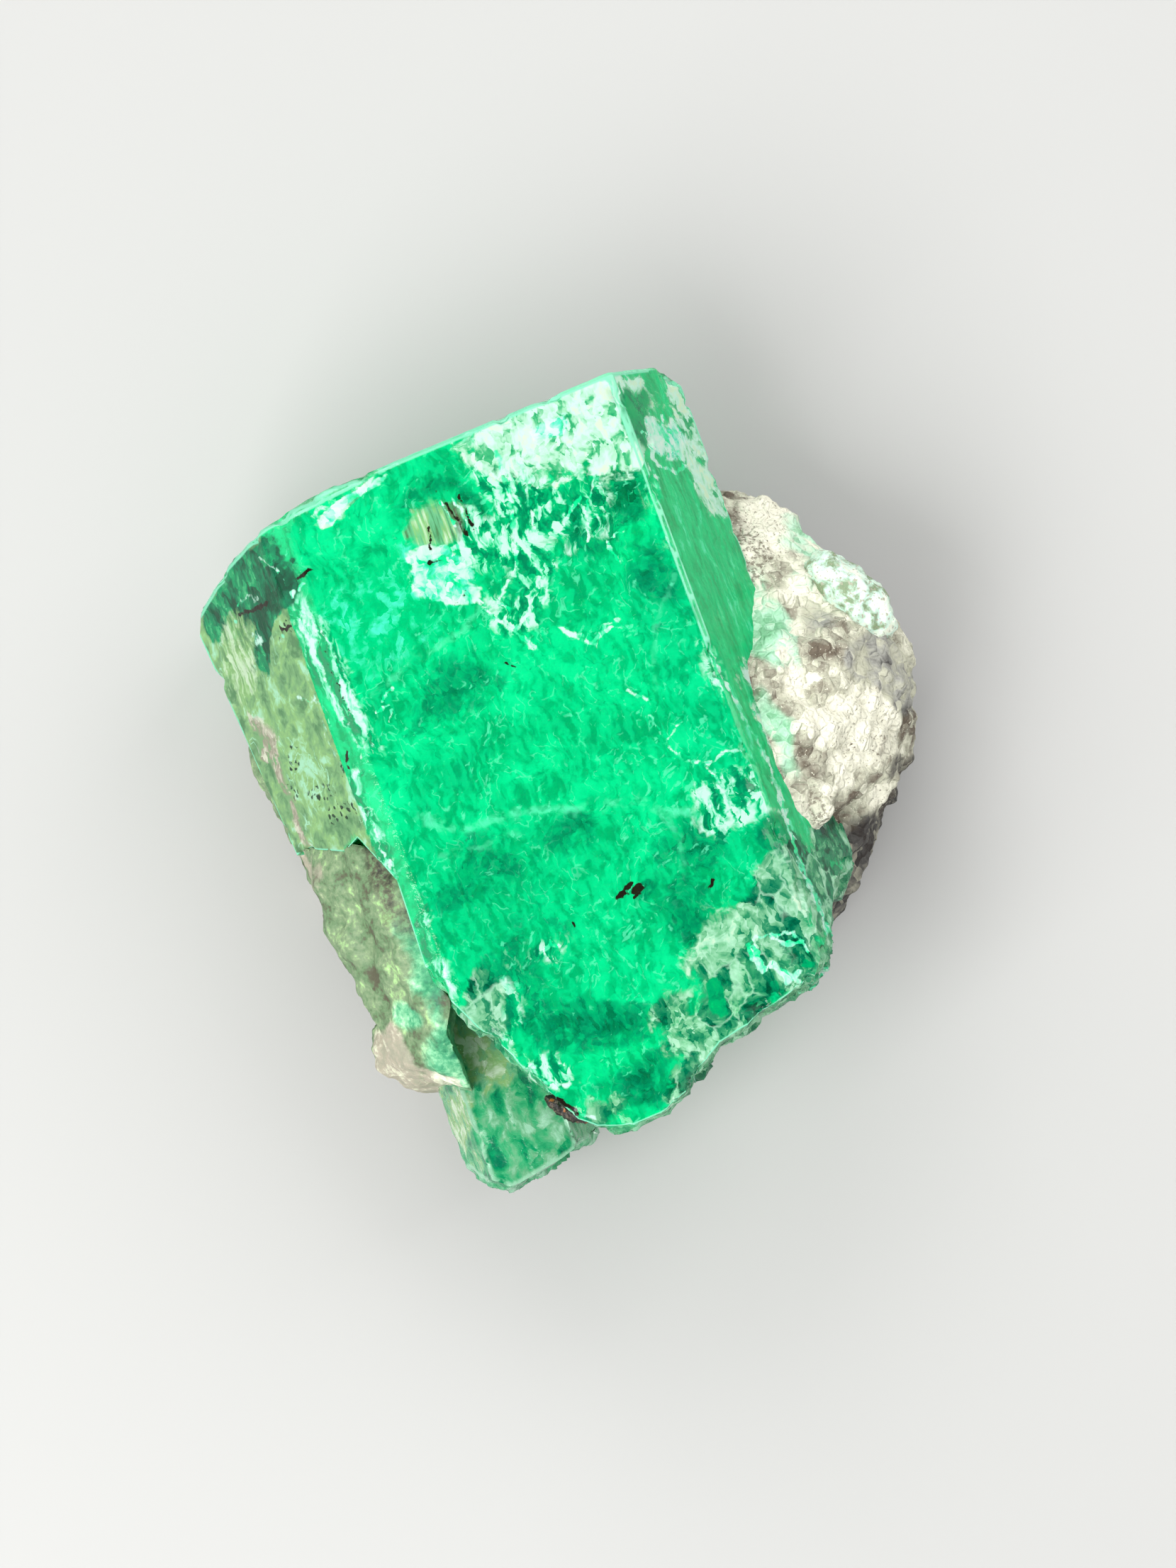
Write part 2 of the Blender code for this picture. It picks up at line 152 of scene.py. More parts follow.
# Soft areas on the crystal, in plan: centre, half lengths along and across, turn in degrees, strength.
CRYSTAL_AREAS = {
    "frost": (
        (1.9, 7.15, 2.1, 1.25, 4, 1.0),
        (2.45, 6.45, 0.75, 0.95, -10, 0.9),
        (4.45, 6.4, 0.42, 1.9, 3, 1.0),
        (4.42, 5.0, 0.26, 0.75, 0, 1.0),
        (3.85, 6.45, 0.45, 0.55, 0, 0.75),
        (0.5, 7.45, 1.3, 0.55, 8, 0.8),
        (3.75, 0.2, 0.3, 1.8, 4, 0.45),
        (-3.2, 7.38, 1.0, 0.14, 22, 1.0),
    ),
    "veil": (
        (0.15, 6.2, 0.6, 2.1, 6, 0.9),
        (-0.2, 4.75, 0.65, 1.3, 8, 1.0),
        (0.75, 6.0, 0.45, 1.7, 4, 0.8),
        (1.75, 5.7, 0.6, 1.2, -6, 0.55),
        (-0.75, 3.75, 0.75, 0.55, -30, 1.0),
        (-0.9, 5.4, 0.5, 1.1, 10, 0.7),
        (2.3, -1.75, 0.9, 0.75, 0, 0.75),
        (3.05, -1.8, 0.42, 0.7, 0, 0.9),
        (3.0, 1.2, 0.2, 1.6, 6, 0.35),
        (-2.7, -3.5, 0.9, 0.5, -10, 0.35),
        (-3.3, -6.15, 0.7, 0.5, -25, 0.8),
        (-3.9, -4.6, 0.35, 1.0, -25, 0.6),
    ),
    "band": (
        (-4.96, 4.3, 0.36, 2.9, 6, 1.0),
        (-4.7, 3.0, 0.3, 1.6, 4, 0.9),
        (-5.22, 0.2, 0.24, 1.9, -2, 0.8),
        (-4.9, -2.6, 0.26, 1.7, 0, 0.5),
    ),
    "lively": (
        (0.4, 5.2, 3.4, 3.4, 0, 1.0),
        (-2.4, 3.2, 2.6, 3.4, 0, 0.5),
        (1.8, -1.2, 2.2, 2.6, 0, 1.0),
        (-1.0, -3.9, 3.2, 1.6, 0, 1.0),
        (1.2, -6.0, 3.5, 2.0, 0, 0.9),
        (-2.6, -0.6, 3.0, 0.8, -6, 0.5),
    ),
    "cyan": (
        (-3.25, 4.65, 1.95, 1.3, 17, 0.9),
        (-1.95, 4.95, 0.95, 0.95, 0, 0.9),
    ),
    "foam": (
        (-1.95, 5.05, 0.74, 0.6, -35, 1.0),
        (-1.65, 4.55, 0.62, 0.34, -25, 0.9),
        (-3.4, 7.36, 0.9, 0.1, 20, 1.0),
        (1.6, 7.3, 0.5, 0.25, 10, 0.9),
        (3.82, 6.4, 0.46, 0.5, -15, 1.0),
    ),
    "sage": (
        (1.9, -5.2, 1.9, 1.7, 10, 1.0),
        (2.85, -4.1, 0.75, 1.1, 0, 0.9),
        (0.6, -6.5, 1.7, 0.85, -10, 1.0),
        (-0.35, -5.85, 0.65, 0.45, 0, 0.9),
        (-0.2, -7.3, 1.1, 0.7, 20, 0.9),
        (-2.6, -7.3, 0.6, 0.4, 0, 0.7),
        (-4.3, -4.3, 0.5, 1.0, -20, 0.7),
        (3.9, -4.4, 0.8, 1.5, 0, 0.9),
        (4.3, -3.1, 0.8, 1.1, 0, 1.0),
        (3.15, -3.4, 0.4, 1.1, 0, 0.7),
    ),
    # Dark patches: darker green inside the stone, and painted shade along the right inner border and at the
    # top.
    "deep": (
        (0.6, -4.05, 0.7, 0.7, 20, 1.0),
        (0.1, -3.0, 0.6, 0.3, 10, 0.9),
        (-1.8, -5.55, 1.3, 0.6, -15, 0.75),
        (-1.65, -6.95, 1.2, 0.75, 10, 0.85),
        (-1.3, 7.0, 1.1, 0.45, 15, 0.8),
        (-0.9, 6.1, 0.5, 0.9, 8, 0.8),
        (2.3, 5.35, 1.1, 0.75, 0, 1.0),
        (1.4, 4.9, 0.9, 1.3, 0, 0.75),
        (2.5, 3.4, 0.8, 1.6, 0, 0.5),
        (-2.9, -5.0, 1.2, 1.0, -30, 0.5),
        (-1.2, -1.3, 1.6, 0.5, -10, 0.5),
        (3.85, 4.9, 0.45, 0.75, 0, 0.9),
        (-3.2, -1.7, 1.8, 1.3, 0, 0.55),
        (-3.2, -3.4, 1.5, 1.6, 0, 0.5),
        (0.7, -3.5, 1.3, 1.1, 0, 0.7),
        (1.3, -2.6, 1.0, 1.0, 0, 0.6),
        (-5.6, -0.2, 0.35, 0.5, 0, 0.9),
        (-2.4, 2.6, 1.6, 0.8, 17, 0.45),
    ),
    "window": (
        (2.9, -2.8, 0.5, 0.55, 20, 1.0),
        (3.38, 6.95, 0.4, 0.85, -6, 0.75),
        (0.53, -5.86, 0.17, 0.36, 10, 1.0),
        (2.87, -5.8, 0.26, 0.14, -20, 1.0),
        (1.76, -6.07, 0.15, 0.28, 5, 0.9),
        (0.6, -3.95, 0.35, 0.4, 10, 0.9),
    ),
    "corner": (
        (-6.1, 6.45, 1.35, 0.85, 22, 1.0),
        (-5.45, 6.05, 0.7, 0.75, 0, 1.0),
        (-6.75, 6.3, 0.7, 0.6, 40, 1.0),
        (-6.05, 5.35, 0.26, 1.0, -20, 1.0),
    ),
    "block": (
        (-1.6, 6.15, 0.7, 0.78, 0, 1.0),
    ),
    "olive": (
        (-6.85, 5.2, 0.55, 1.2, -8, 1.0),
    ),
    "pink": (
        (-7.0, 2.9, 0.2, 1.3, 6, 1.0),
        (-6.85, 1.6, 0.16, 1.2, 4, 0.8),
        (-6.9, 3.5, 0.32, 0.42, 0, 0.7),
    ),
    "pits": (
        (-5.45, 5.1, 0.3, 0.25, 0, 1.0),
        (-5.18, 3.0, 0.24, 0.4, 0, 1.0),
        (-5.3, 1.95, 0.3, 0.22, 0, 1.0),
        (-6.05, 1.55, 0.42, 0.22, 0, 1.0),
        (-5.65, 0.95, 0.45, 0.35, 0, 1.0),
        (-6.8, 2.1, 0.25, 0.5, 0, 0.8),
        (-6.35, 2.55, 0.25, 0.2, 0, 0.7),
    ),
}

# The same on the small crystal and on the rocks.
CRUSTED_AREAS = (
    (-4.45, -4.9, 1.0, 1.3, -20, 1.0),
    (-5.75, -6.0, 0.35, 1.6, 8, 0.8),
)
RIGHT_AREAS = {
    "grey": (
        (6.5, 0.3, 0.8, 0.75, 0, 1.0),
        (6.9, -0.4, 0.5, 0.9, 0, 0.8),
        (5.6, 1.4, 0.6, 0.5, 0, 0.5),
    ),
    "gaps": (
        (4.7, 3.5, 0.4, 0.9, 0, 0.9),
        (4.25, -2.7, 0.2, 0.7, 10, 0.6),
    ),
    "mint": (
        (4.45, 1.9, 0.5, 1.6, 8, 1.0),
        (3.9, -0.5, 0.4, 1.4, 8, 0.9),
        (6.2, 2.4, 0.9, 0.6, -40, 0.8),
        (6.1, 3.5, 0.9, 0.7, -30, 0.8),
    ),
    "chalk": (
        (5.4, 4.0, 1.3, 1.1, -20, 0.7),
        (5.6, -1.2, 1.1, 1.0, 0, 0.7),
        (6.4, -0.9, 0.6, 0.8, 0, 0.6),
    ),
    # Dark grey-brown rock on the lower right underside, painted darker as shade.
    "dark": (
        (5.2, -3.8, 1.2, 1.1, 0, 1.0),
        (6.6, -2.6, 0.7, 0.9, 30, 0.9),
        (4.2, -4.6, 0.9, 0.7, 0, 0.9),
    ),
}

LEFT_AREAS = {
    "pink": (
        (-6.6, -4.55, 0.55, 1.0, 5, 1.0),
        (-6.2, -5.35, 0.95, 0.45, -38, 1.0),
        (-7.0, 0.5, 0.2, 1.2, 5, 0.7),
    ),
    # Painted shade in the recesses where the crust meets the crystal.
    "shade": (
        (-5.45, -0.5, 0.35, 1.3, 0, 1.0),
        (-5.2, -1.9, 0.22, 0.9, 0, 0.6),
        (-5.0, -4.6, 0.2, 0.9, 15, 0.5),
    ),
    "green": (
        (-5.2, -3.0, 0.45, 1.6, 0, 0.8),
        (-6.0, -3.7, 0.4, 0.5, 0, 0.8),
        (-5.3, -4.9, 0.7, 0.9, 0, 0.9),
    ),
}

# Marks on the crystal, in plan, from point to point, with the half width and how white each is.
WHITE_AND_HIGHLIGHT_MARKS = (
    (((0.15, 3.04), (0.43, 2.76), (0.74, 2.44)), 0.06, 0.8),
    (((0.7, 2.52), (1.22, 2.66), (1.67, 2.52)), 0.045, 0.8),
    (((0.95, 2.6), (1.1, 2.75), (1.45, 2.78)), 0.03, 0.8),
    (((-1.44, 4.31), (-1.03, 3.6), (-0.43, 2.69)), 0.045, 0.8),
    (((1.05, 1.21), (1.48, 0.85)), 0.04, 0.7),
    (((1.33, 0.52), (1.45, 0.2), (1.46, -0.16), (1.7, -0.66), (1.99, -0.8)), 0.035, 0.7),
    (((2.01, 0.2), (1.49, -0.09)), 0.032, 0.6),
    (((1.99, -0.8), (2.3, -0.91), (2.63, -0.79), (2.95, -0.87)), 0.038, 0.8),
    (((2.15, -0.96), (2.22, -1.34), (2.36, -1.53)), 0.035, 0.7),
    (((1.75, 4.47), (1.92, 3.96)), 0.03, 0.9),
    (((1.88, 4.53), (2.21, 4.59)), 0.03, 0.9),
    (((1.05, 5.22), (1.56, 5.66)), 0.045, 1.0),
    (((1.41, 4.67), (1.6, 5.3), (2.02, 5.98)), 0.03, 0.7),
    (((-2.31, 5.4), (-2.05, 5.52), (-1.75, 5.35), (-1.66, 5.05), (-1.6, 4.7)), 0.065, 1.0),
    (((-2.35, 5.25), (-2.2, 5.05), (-1.95, 5.1), (-1.85, 4.85), (-2.05, 4.72)), 0.05, 1.0),
    (((-2.24, 4.57), (-1.9, 4.55), (-1.53, 4.28)), 0.06, 1.0),
    (((-1.6, 4.55), (-1.45, 4.35), (-1.25, 4.15)), 0.04, 0.9),
    (((-4.11, 2.88), (-3.8, 3.05)), 0.035, 0.9),
    (((-4.26, 2.66), (-3.95, 2.75)), 0.03, 0.9),
    (((-4.1, 2.35), (-3.95, 2.6)), 0.03, 0.8),
    (((-1.72, 5.62), (-1.55, 5.55), (-1.38, 5.5), (-1.13, 5.35)), 0.045, 1.0),
    (((-1.38, 6.55), (-1.22, 5.95)), 0.03, 0.9),
    (((-1.08, 6.6), (-0.98, 5.85)), 0.028, 0.9),
    (((-5.16, 5.78), (-5.08, 5.84)), 0.055, 1.0),
    (((-4.94, 5.82), (-4.88, 5.9)), 0.05, 1.0),
    (((-5.21, 5.23), (-5.1, 4.01), (-5.0, 2.93), (-4.91, 1.85)), 0.05, 0.5),
    (((-4.82, 4.95), (-4.7, 4.1), (-4.64, 3.15), (-4.62, 1.88)), 0.04, 0.5),
    (((-5.18, 0.5), (-5.2, -0.24), (-5.1, -0.93)), 0.03, 0.7),
    (((1.73, -5.02), (1.76, -5.51), (2.02, -5.53)), 0.055, 1.0),
    (((2.16, -4.97), (2.45, -5.2), (2.79, -5.27)), 0.05, 1.0),
    (((2.19, -6.0), (2.49, -5.91)), 0.06, 1.0),
    (((2.02, -5.53), (2.19, -6.0)), 0.035, 0.9),
    (((-2.56, -3.53), (-2.4, -3.4), (-2.25, -3.54)), 0.045, 0.9),
    (((-0.55, 4.4), (-0.95, 4.05), (-0.75, 3.8)), 0.045, 0.8),
    (((-0.38, 3.58), (-0.74, 3.36), (-1.05, 3.55)), 0.04, 0.8),
    (((0.17, 7.21), (0.13, 6.32), (-0.09, 5.35), (-0.27, 4.65)), 0.06, 0.7),
    (((0.58, 6.99), (0.49, 5.98), (0.3, 5.07)), 0.045, 0.65),
    (((-4.0, 7.36), (-3.42, 7.27), (-2.89, 7.39), (-2.34, 7.52)), 0.06, 0.8),
    (((3.77, 6.45), (3.36, 6.55)), 0.045, 1.0),
    (((3.77, 6.45), (3.55, 6.82)), 0.05, 1.0),
    (((3.77, 6.45), (3.92, 6.88)), 0.05, 1.0),
    (((3.77, 6.45), (4.08, 6.51)), 0.05, 1.0),
    (((3.77, 6.4), (3.42, 6.2), (3.36, 5.95), (3.46, 5.74), (3.75, 5.58), (3.98, 5.66)), 0.05, 0.9),
    (((3.8, 6.35), (3.85, 6.1), (4.02, 6.0), (4.02, 5.72)), 0.045, 0.9),
    (((3.2, 5.85), (3.3, 5.45), (3.24, 5.1)), 0.04, 0.6),
    # These three marks are a painted highlight along the front-right edge of the front face.
    (((3.14, 1.2), (3.24, 0.2), (3.4, -0.89), (3.46, -1.51)), 0.045, 0.8),
    (((3.46, -1.51), (3.38, -2.84), (3.36, -3.79), (3.4, -4.82), (3.42, -5.42)), 0.06, 0.85),
    (((3.42, -5.42), (3.18, -5.8), (2.71, -6.24), (1.9, -6.55)), 0.05, 0.7),
    (((1.63, -4.95), (1.85, -4.85), (2.67, -5.03), (2.85, -5.55)), 0.04, 0.8),
    (((1.63, -4.95), (1.66, -5.35), (1.8, -5.6)), 0.055, 0.9),
    (((2.02, -5.6), (2.22, -5.82), (2.41, -6.07)), 0.07, 0.9),
    (((-6.45, 6.3), (-6.15, 6.3), (-5.95, 6.15)), 0.05, 0.45),
    (((-6.3, 5.5), (-6.24, 5.25)), 0.08, 0.55),
    (((-5.55, 6.85), (-5.35, 6.55), (-5.2, 6.05)), 0.028, 0.6),
    (((-5.86, 3.75), (-5.55, 3.45), (-5.4, 3.55)), 0.035, 0.5),
    (((-5.45, 3.4), (-5.5, 2.6), (-5.42, 2.1)), 0.04, 0.4),
    (((-3.63, -6.18), (-3.4, -6.4), (-3.1, -6.48)), 0.05, 0.8),
    (((-3.0, -7.2), (-2.8, -7.35)), 0.05, 0.9),
)
SOFT_MARKS = (
    (((-4.1, 0.25), (-3.96, -0.05), (-3.41, -0.41), (-2.69, -0.47)), 0.085, 0.9),
    (((-2.69, -0.47), (-2.08, -0.46), (-1.47, -0.65)), 0.085, 0.9),
    (((-1.47, -0.65), (-0.77, -0.88), (-0.11, -0.98), (0.59, -1.2)), 0.08, 0.9),
    (((0.59, -1.2), (0.9, -1.56), (1.6, -1.85)), 0.08, 0.9),
    (((-4.2, 3.05), (-3.1, 3.45), (-1.9, 3.7), (-1.4, 4.05)), 0.06, 0.6),
    (((-4.0, -0.8), (-3.1, -0.95), (-2.3, -0.9)), 0.07, 0.5),
    (((2.95, 3.3), (2.1, 2.3), (1.6, 0.9)), 0.05, 0.4),
    (((0.9, -1.56), (1.05, -2.3), (0.85, -3.0)), 0.06, 0.5),
)
DARK_MARKS = (
    (((-1.24, 6.5), (-1.16, 6.1), (-1.04, 5.7)), 0.05, 0.7),
    (((-0.93, 6.55), (-0.9, 6.1), (-0.86, 5.75)), 0.036, 0.6),
    (((-1.81, 6.15), (-1.88, 5.85), (-1.97, 5.52)), 0.035, 0.55),
    (((-1.5, 6.85), (-1.2, 6.8), (-0.95, 6.7)), 0.05, 0.4),
    (((-0.66, -2.96), (-0.5, -2.96)), 0.07, 1.0),
    (((-0.45, -2.84), (-0.3, -2.8)), 0.04, 0.9),
    (((-0.28, -2.98), (-0.1, -2.92)), 0.065, 1.0),
    (((-0.36, -3.1), (-0.18, -3.08)), 0.03, 0.8),
    (((1.29, -3.45), (1.4, -3.35)), 0.05, 0.9),
    (((-1.8, -3.13), (-1.8, -3.26)), 0.03, 0.9),
    (((-4.88, 6.05), (-4.72, 6.1), (-4.57, 6.14)), 0.05, 1.0),
    (((-2.1, 5.36), (-1.95, 5.4), (-1.82, 5.33)), 0.03, 0.9),
    (((-1.45, 4.62), (-1.62, 4.4), (-1.85, 4.28)), 0.018, 0.7),
    (((-5.2, 2.05), (-5.28, 1.75)), 0.035, 0.8),
    (((-1.2, 2.75), (-1.05, 2.55)), 0.04, 0.6),
    (((-4.95, 4.95), (-4.86, 3.6), (-4.8, 2.6)), 0.018, 0.5),
    (((-6.5, 6.08), (-6.1, 5.98), (-5.75, 5.92)), 0.05, 0.9),
    (((-5.62, 5.22), (-5.45, 5.14)), 0.045, 0.9),
    (((-3.55, -6.55), (-3.3, -6.85), (-3.1, -7.15)), 0.06, 1.0),
)


def smooth_step(t):
    """Eases from 0 to 1."""
    t = min(1.0, max(0.0, t))
    return t * t * (3 - 2 * t)


def paint(name, alpha=1.0):
    """A named colour in the linear values that shaders take."""
    code = COLOURS[name]
    seen = [int(code[i:i + 2], 16) / 255 for i in (0, 2, 4)]
    return tuple(c / 12.92 if c <= 0.04045 else ((c + 0.055) / 1.055) ** 2.4 for c in seen) + (alpha,)


# Meshes

def merged_copy(node):
    """A copy of a CAD node as a closed bmesh in millimetres."""
    bm = bmesh.new()
    bm.from_mesh(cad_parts[node].data)
    bmesh.ops.scale(bm, vec=(1 / MM,) * 3, verts=bm.verts)
    bmesh.ops.remove_doubles(bm, verts=bm.verts, dist=WELD)
    bmesh.ops.dissolve_degenerate(bm, dist=WELD, edges=bm.edges)
    return bm


def cut_into_cells(bm):
    """Cuts large faces along planes a cell apart, so that refining them gives even triangles."""
    for axis in range(3):
        facing = Vector([1.0 if i == axis else 0.0 for i in range(3)])
        low = min(v.co[axis] for v in bm.verts)
        high = max(v.co[axis] for v in bm.verts)
        steps = int((high - low) / CELL)
        for i in range(1, steps + 1):
            everything = bm.verts[:] + bm.edges[:] + bm.faces[:]
            spot = facing * (low + (i - 0.5) * CELL + CELL_SHIFT)
            bmesh.ops.bisect_plane(bm, geom=everything, plane_co=spot, plane_no=facing, dist=WELD)


def refine(bm, longest):
    """Halves edges in rounds until none is longer than longest gives for its middle."""
    bmesh.ops.triangulate(bm, faces=bm.faces[:])
    for _ in range(REFINE_ROUNDS):
        found = []
        for edge in bm.edges:
            a, b = edge.verts[0].co, edge.verts[1].co
            if (a - b).length > longest((a + b) / 2):
                found.append(edge)
        if not found:
            return
        bmesh.ops.subdivide_edges(bm, edges=found, cuts=1)
        bmesh.ops.triangulate(bm, faces=[f for f in bm.faces if len(f.verts) > 3])


def finished(name, bm, mineral, node, fields=None):
    """Turns a bmesh in millimetres into the piece for a CAD node, with values for its vertices."""
    for vert in bm.verts:
        vert.co.z = max(vert.co.z, 0.0)
    bmesh.ops.recalc_face_normals(bm, faces=bm.faces)
    bmesh.ops.scale(bm, vec=(MM,) * 3, verts=bm.verts)
    mesh = bpy.data.meshes.new(name)
    bm.to_mesh(mesh)
    bm.free()
    for field, values in (fields or {}).items():
        layer = mesh.attributes.new(field, "FLOAT", "POINT")
        layer.data.foreach_set("value", np.asarray(values, np.float32))
    mesh.materials.append(mineral)
    obj = bpy.data.objects.new(name, mesh)
    bpy.context.scene.collection.objects.link(obj)
    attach(obj, "root")
    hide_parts(node)


def mark_sharp(bm, angle):
    """Shades the mesh smoothly apart from edges sharper than angle."""
    for face in bm.faces:
        face.smooth = True
    for edge in bm.edges:
        if len(edge.link_faces) == 2:
            edge.smooth = edge.calc_face_angle(0.0) < angle


def smoothed(bm, verts, rounds):
    """Evens out points in rounds."""
    for _ in range(rounds):
        bmesh.ops.smooth_vert(bm, verts=verts, factor=0.5, use_axis_x=True, use_axis_y=True, use_axis_z=True)
    bm.normal_update()


def places(bm):
    """Where each vertex is, as an array."""
    return np.array([v.co for v in bm.verts])


def points_along(marks, step=0.08):
    """Points along marks, close together."""
    found = []
    for line, _, _ in marks:
        for a, b in zip(line, line[1:]):
            a, b = Vector(a), Vector(b)
            count = max(1, int((b - a).length / step))
            found += [a.lerp(b, i / count) for i in range(count + 1)]
    return found


def strayed(spots, amount, size):
    """Places in plan, moved about by noise, so that what is drawn at them gets ragged."""
    moved = []
    for spot in spots:
        near = Vector(spot) / size
        moved.append([noise.noise(near + shift) for shift in STRAY_SHIFTS])
    return spots[:, :2] + np.array(moved) * amount


def area_field(spots, areas):
    """1 in the middle of each soft area, falling to 0 at its border."""
    field = np.zeros(len(spots))
    for cx, cy, along, across, turn, strength in areas:
        c, s = math.cos(math.radians(turn)), math.sin(math.radians(turn))
        dx, dy = spots[:, 0] - cx, spots[:, 1] - cy
        far = np.hypot((dx * c + dy * s) / along, (-dx * s + dy * c) / across)
        field = np.maximum(field, strength * np.clip(1 - far, 0, 1) ** 0.7)
    return field


def mark_field(spots, marks):
    """1 on each mark, 0 away from it, with soft sides."""
    field = np.zeros(len(spots))
    for line, half, strength in marks:
        for a, b in zip(line, line[1:]):
            a, run = np.array(a), np.array(b) - np.array(a)
            share = np.clip((spots - a) @ run / (run @ run), 0, 1)
            far = np.linalg.norm(spots - a - share[:, None] * run, axis=1)
            field = np.maximum(field, strength * np.clip(1.5 - far / (half), 0, 1))
    return field


def distance_to(spots, targets, most):
    """How far each place is from the nearest target, up to most."""
    if not targets:
        return np.full(len(spots), most)
    tree = KDTree(len(targets))
    for i, target in enumerate(targets):
        tree.insert(target, i)
    tree.balance()
    return np.array([min(most, tree.find(Vector(s))[2]) for s in spots])


def facet_relief(spot, size, slope, seed):
    """Relief of small tilted planes, one to each cell."""
    here = spot / size + Vector((seed, 0, 0))
    near = noise.voronoi(here)[1][0]
    tilt = noise.cell_vector(near * 41.0) - Vector((0.5, 0.5, 0.5))
    return (here - near).dot(tilt) * slope * size


def grown_faces(bm):
    """Joins flat faces, and gives the layer that marks the large ones as grown."""
    bmesh.ops.dissolve_limit(bm, angle_limit=FLAT_ANGLE, verts=bm.verts[:], edges=bm.edges[:])
    layer = bm.faces.layers.int.new("grown")
    for face in bm.faces:
        face[layer] = 1 if face.calc_area() > GROWN_AREA else 0
    return layer


def shape_crystal(bm, layer):
    """Gives the grown faces fine lines, chips the edges, and turns the broken places into small facets."""
    sharp = [v.co.copy() for e in bm.edges if e.calc_face_angle(0.0) > SHARP_ANGLE for v in e.verts]
    grown = [v.co.copy() for v in bm.verts if any(f[layer] for f in v.link_faces)]
    spots = places(bm)
    to_edge = distance_to(spots, sharp, 2.0)
    to_grown = distance_to(spots, grown, 2.0)
    broken_verts = [v for v, far in zip(bm.verts, to_grown) if far > 0.05]
    smoothed(bm, broken_verts, 3)
    moves = []
    for vert, edge_far, grown_far in zip(bm.verts, to_edge, to_grown):
        p = vert.co
        lines = noise.noise(Vector((p.x * 5.0, p.y * 0.22, p.z * 5.0)))
        lift = GROWTH_LINES * lines * (1 if grown_far == 0 else 0)
        chip = noise.noise(p * 1.7) + 0.5 * noise.noise(p * 5.1) - 0.12
        if chip > 0 and edge_far < CHIP_REACH:
            lift -= CHIP_DEPTH * chip * (1 - edge_far / CHIP_REACH)
        if grown_far > 0:
            weight = smooth_step(grown_far / 0.25)
            for i, (size, slope) in enumerate(BREAK_FACETS):
                lift += weight * facet_relief(p, size, slope, i * 7.0)
        moves.append(vert.normal * lift)
    for vert, move in zip(bm.verts, moves):
        vert.co += move
    return to_edge, to_grown


def emerald_piece():
    """The large emerald, with its marks and soft areas painted on its vertices."""
    bm = merged_copy("emerald_crystal")
    layer = grown_faces(bm)
    cut_into_cells(bm)
    marks = [Vector((p.x, p.y, FRONT_Z)) for p in points_along(WHITE_AND_HIGHLIGHT_MARKS + SOFT_MARKS + DARK_MARKS)]
    tree = KDTree(len(marks))
    for i, mark in enumerate(marks):
        tree.insert(mark, i)
    tree.balance()

    def longest(middle):
        high = Vector((middle.x, middle.y, FRONT_Z))
        near = tree.find(high)[2] < MARK_REACH and middle.z > 3.5
        return MARK_EDGE if near else CRYSTAL_EDGE

    refine(bm, longest)
    spots = places(bm)
    to_edge, to_grown = shape_crystal(bm, layer)
    facing = np.array([v.normal for v in bm.verts])
    flank = (facing[:, 0] < -0.55) & (facing[:, 2] > 0.2) & (to_grown < 0.02) & (spots[:, 0] < FRONT_LEFT_X)
    right_flank = (facing[:, 0] > 0.45) & (facing[:, 2] > -0.1) & (to_grown < 0.02)
    seen = np.clip((spots[:, 2] - 2.0) / 1.5, 0, 1)
    drifted = strayed(spots, 0.28, 0.9)
    fields = {name: area_field(drifted, areas) * seen for name, areas in CRYSTAL_AREAS.items()}
    ragged = strayed(spots, 0.075, 0.16)
    high = np.clip((spots[:, 2] - 3.6) / 0.6, 0, 1)
    fields["white_and_highlight_mark"] = mark_field(ragged, WHITE_AND_HIGHLIGHT_MARKS) * high
    fields["soft_mark"] = mark_field(ragged, SOFT_MARKS) * high
    fields["dark_mark"] = mark_field(ragged, DARK_MARKS) * high
    fields["flank"] = flank.astype(float)
    fields["right_flank"] = right_flank.astype(float)
    # Closeness to the sharp edges, for a painted highlight along them: wider at the broken end, and left out
    # at the lower right, where white marks paint it.
    at_end = spots[:, 1] > 6.3 + 0.35 * spots[:, 0] * (spots[:, 0] < 0)
    low_right = (spots[:, 1] < 1.0) & (spots[:, 0] > 2.6)
    fields["rim"] = to_edge / np.where(at_end, 0.065, 0.038) + 5.0 * low_right
    fields["broken"] = np.clip(to_grown / BREAK_FADE, 0, 1)
    mark_sharp(bm, CRYSTAL_CREASE)
    finished("emerald", bm, emerald_material(), "emerald_crystal", fields)


def lower_piece():
    """The small paler emerald."""
    bm = merged_copy("lower_crystal")
    layer = grown_faces(bm)
    cut_into_cells(bm)
    refine(bm, lambda middle: SMALL_CRYSTAL_EDGE)
    to_edge, to_grown = shape_crystal(bm, layer)
    spots = strayed(places(bm), 0.25, 0.6)
    fields = {
        "crusted": area_field(spots, CRUSTED_AREAS),
        # Closeness to the sharp edges, for a painted highlight along them.
        "rim": to_edge / 0.12,
        "broken": np.clip(to_grown / BREAK_FADE, 0, 1),
    }
    mark_sharp(bm, CRYSTAL_CREASE)
    finished("small_emerald", bm, pale_emerald_material(), "lower_crystal", fields)


def crystal_tree(*nodes):
    """A search tree over CAD nodes in millimetres."""
    both = bmesh.new()
    for node in nodes:
        both.from_mesh(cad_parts[node].data)
    bmesh.ops.scale(both, vec=(1 / MM,) * 3, verts=both.verts)
    bmesh.ops.remove_doubles(both, verts=both.verts, dist=WELD)
    tree = BVHTree.FromBMesh(both)
    both.free()
    return tree


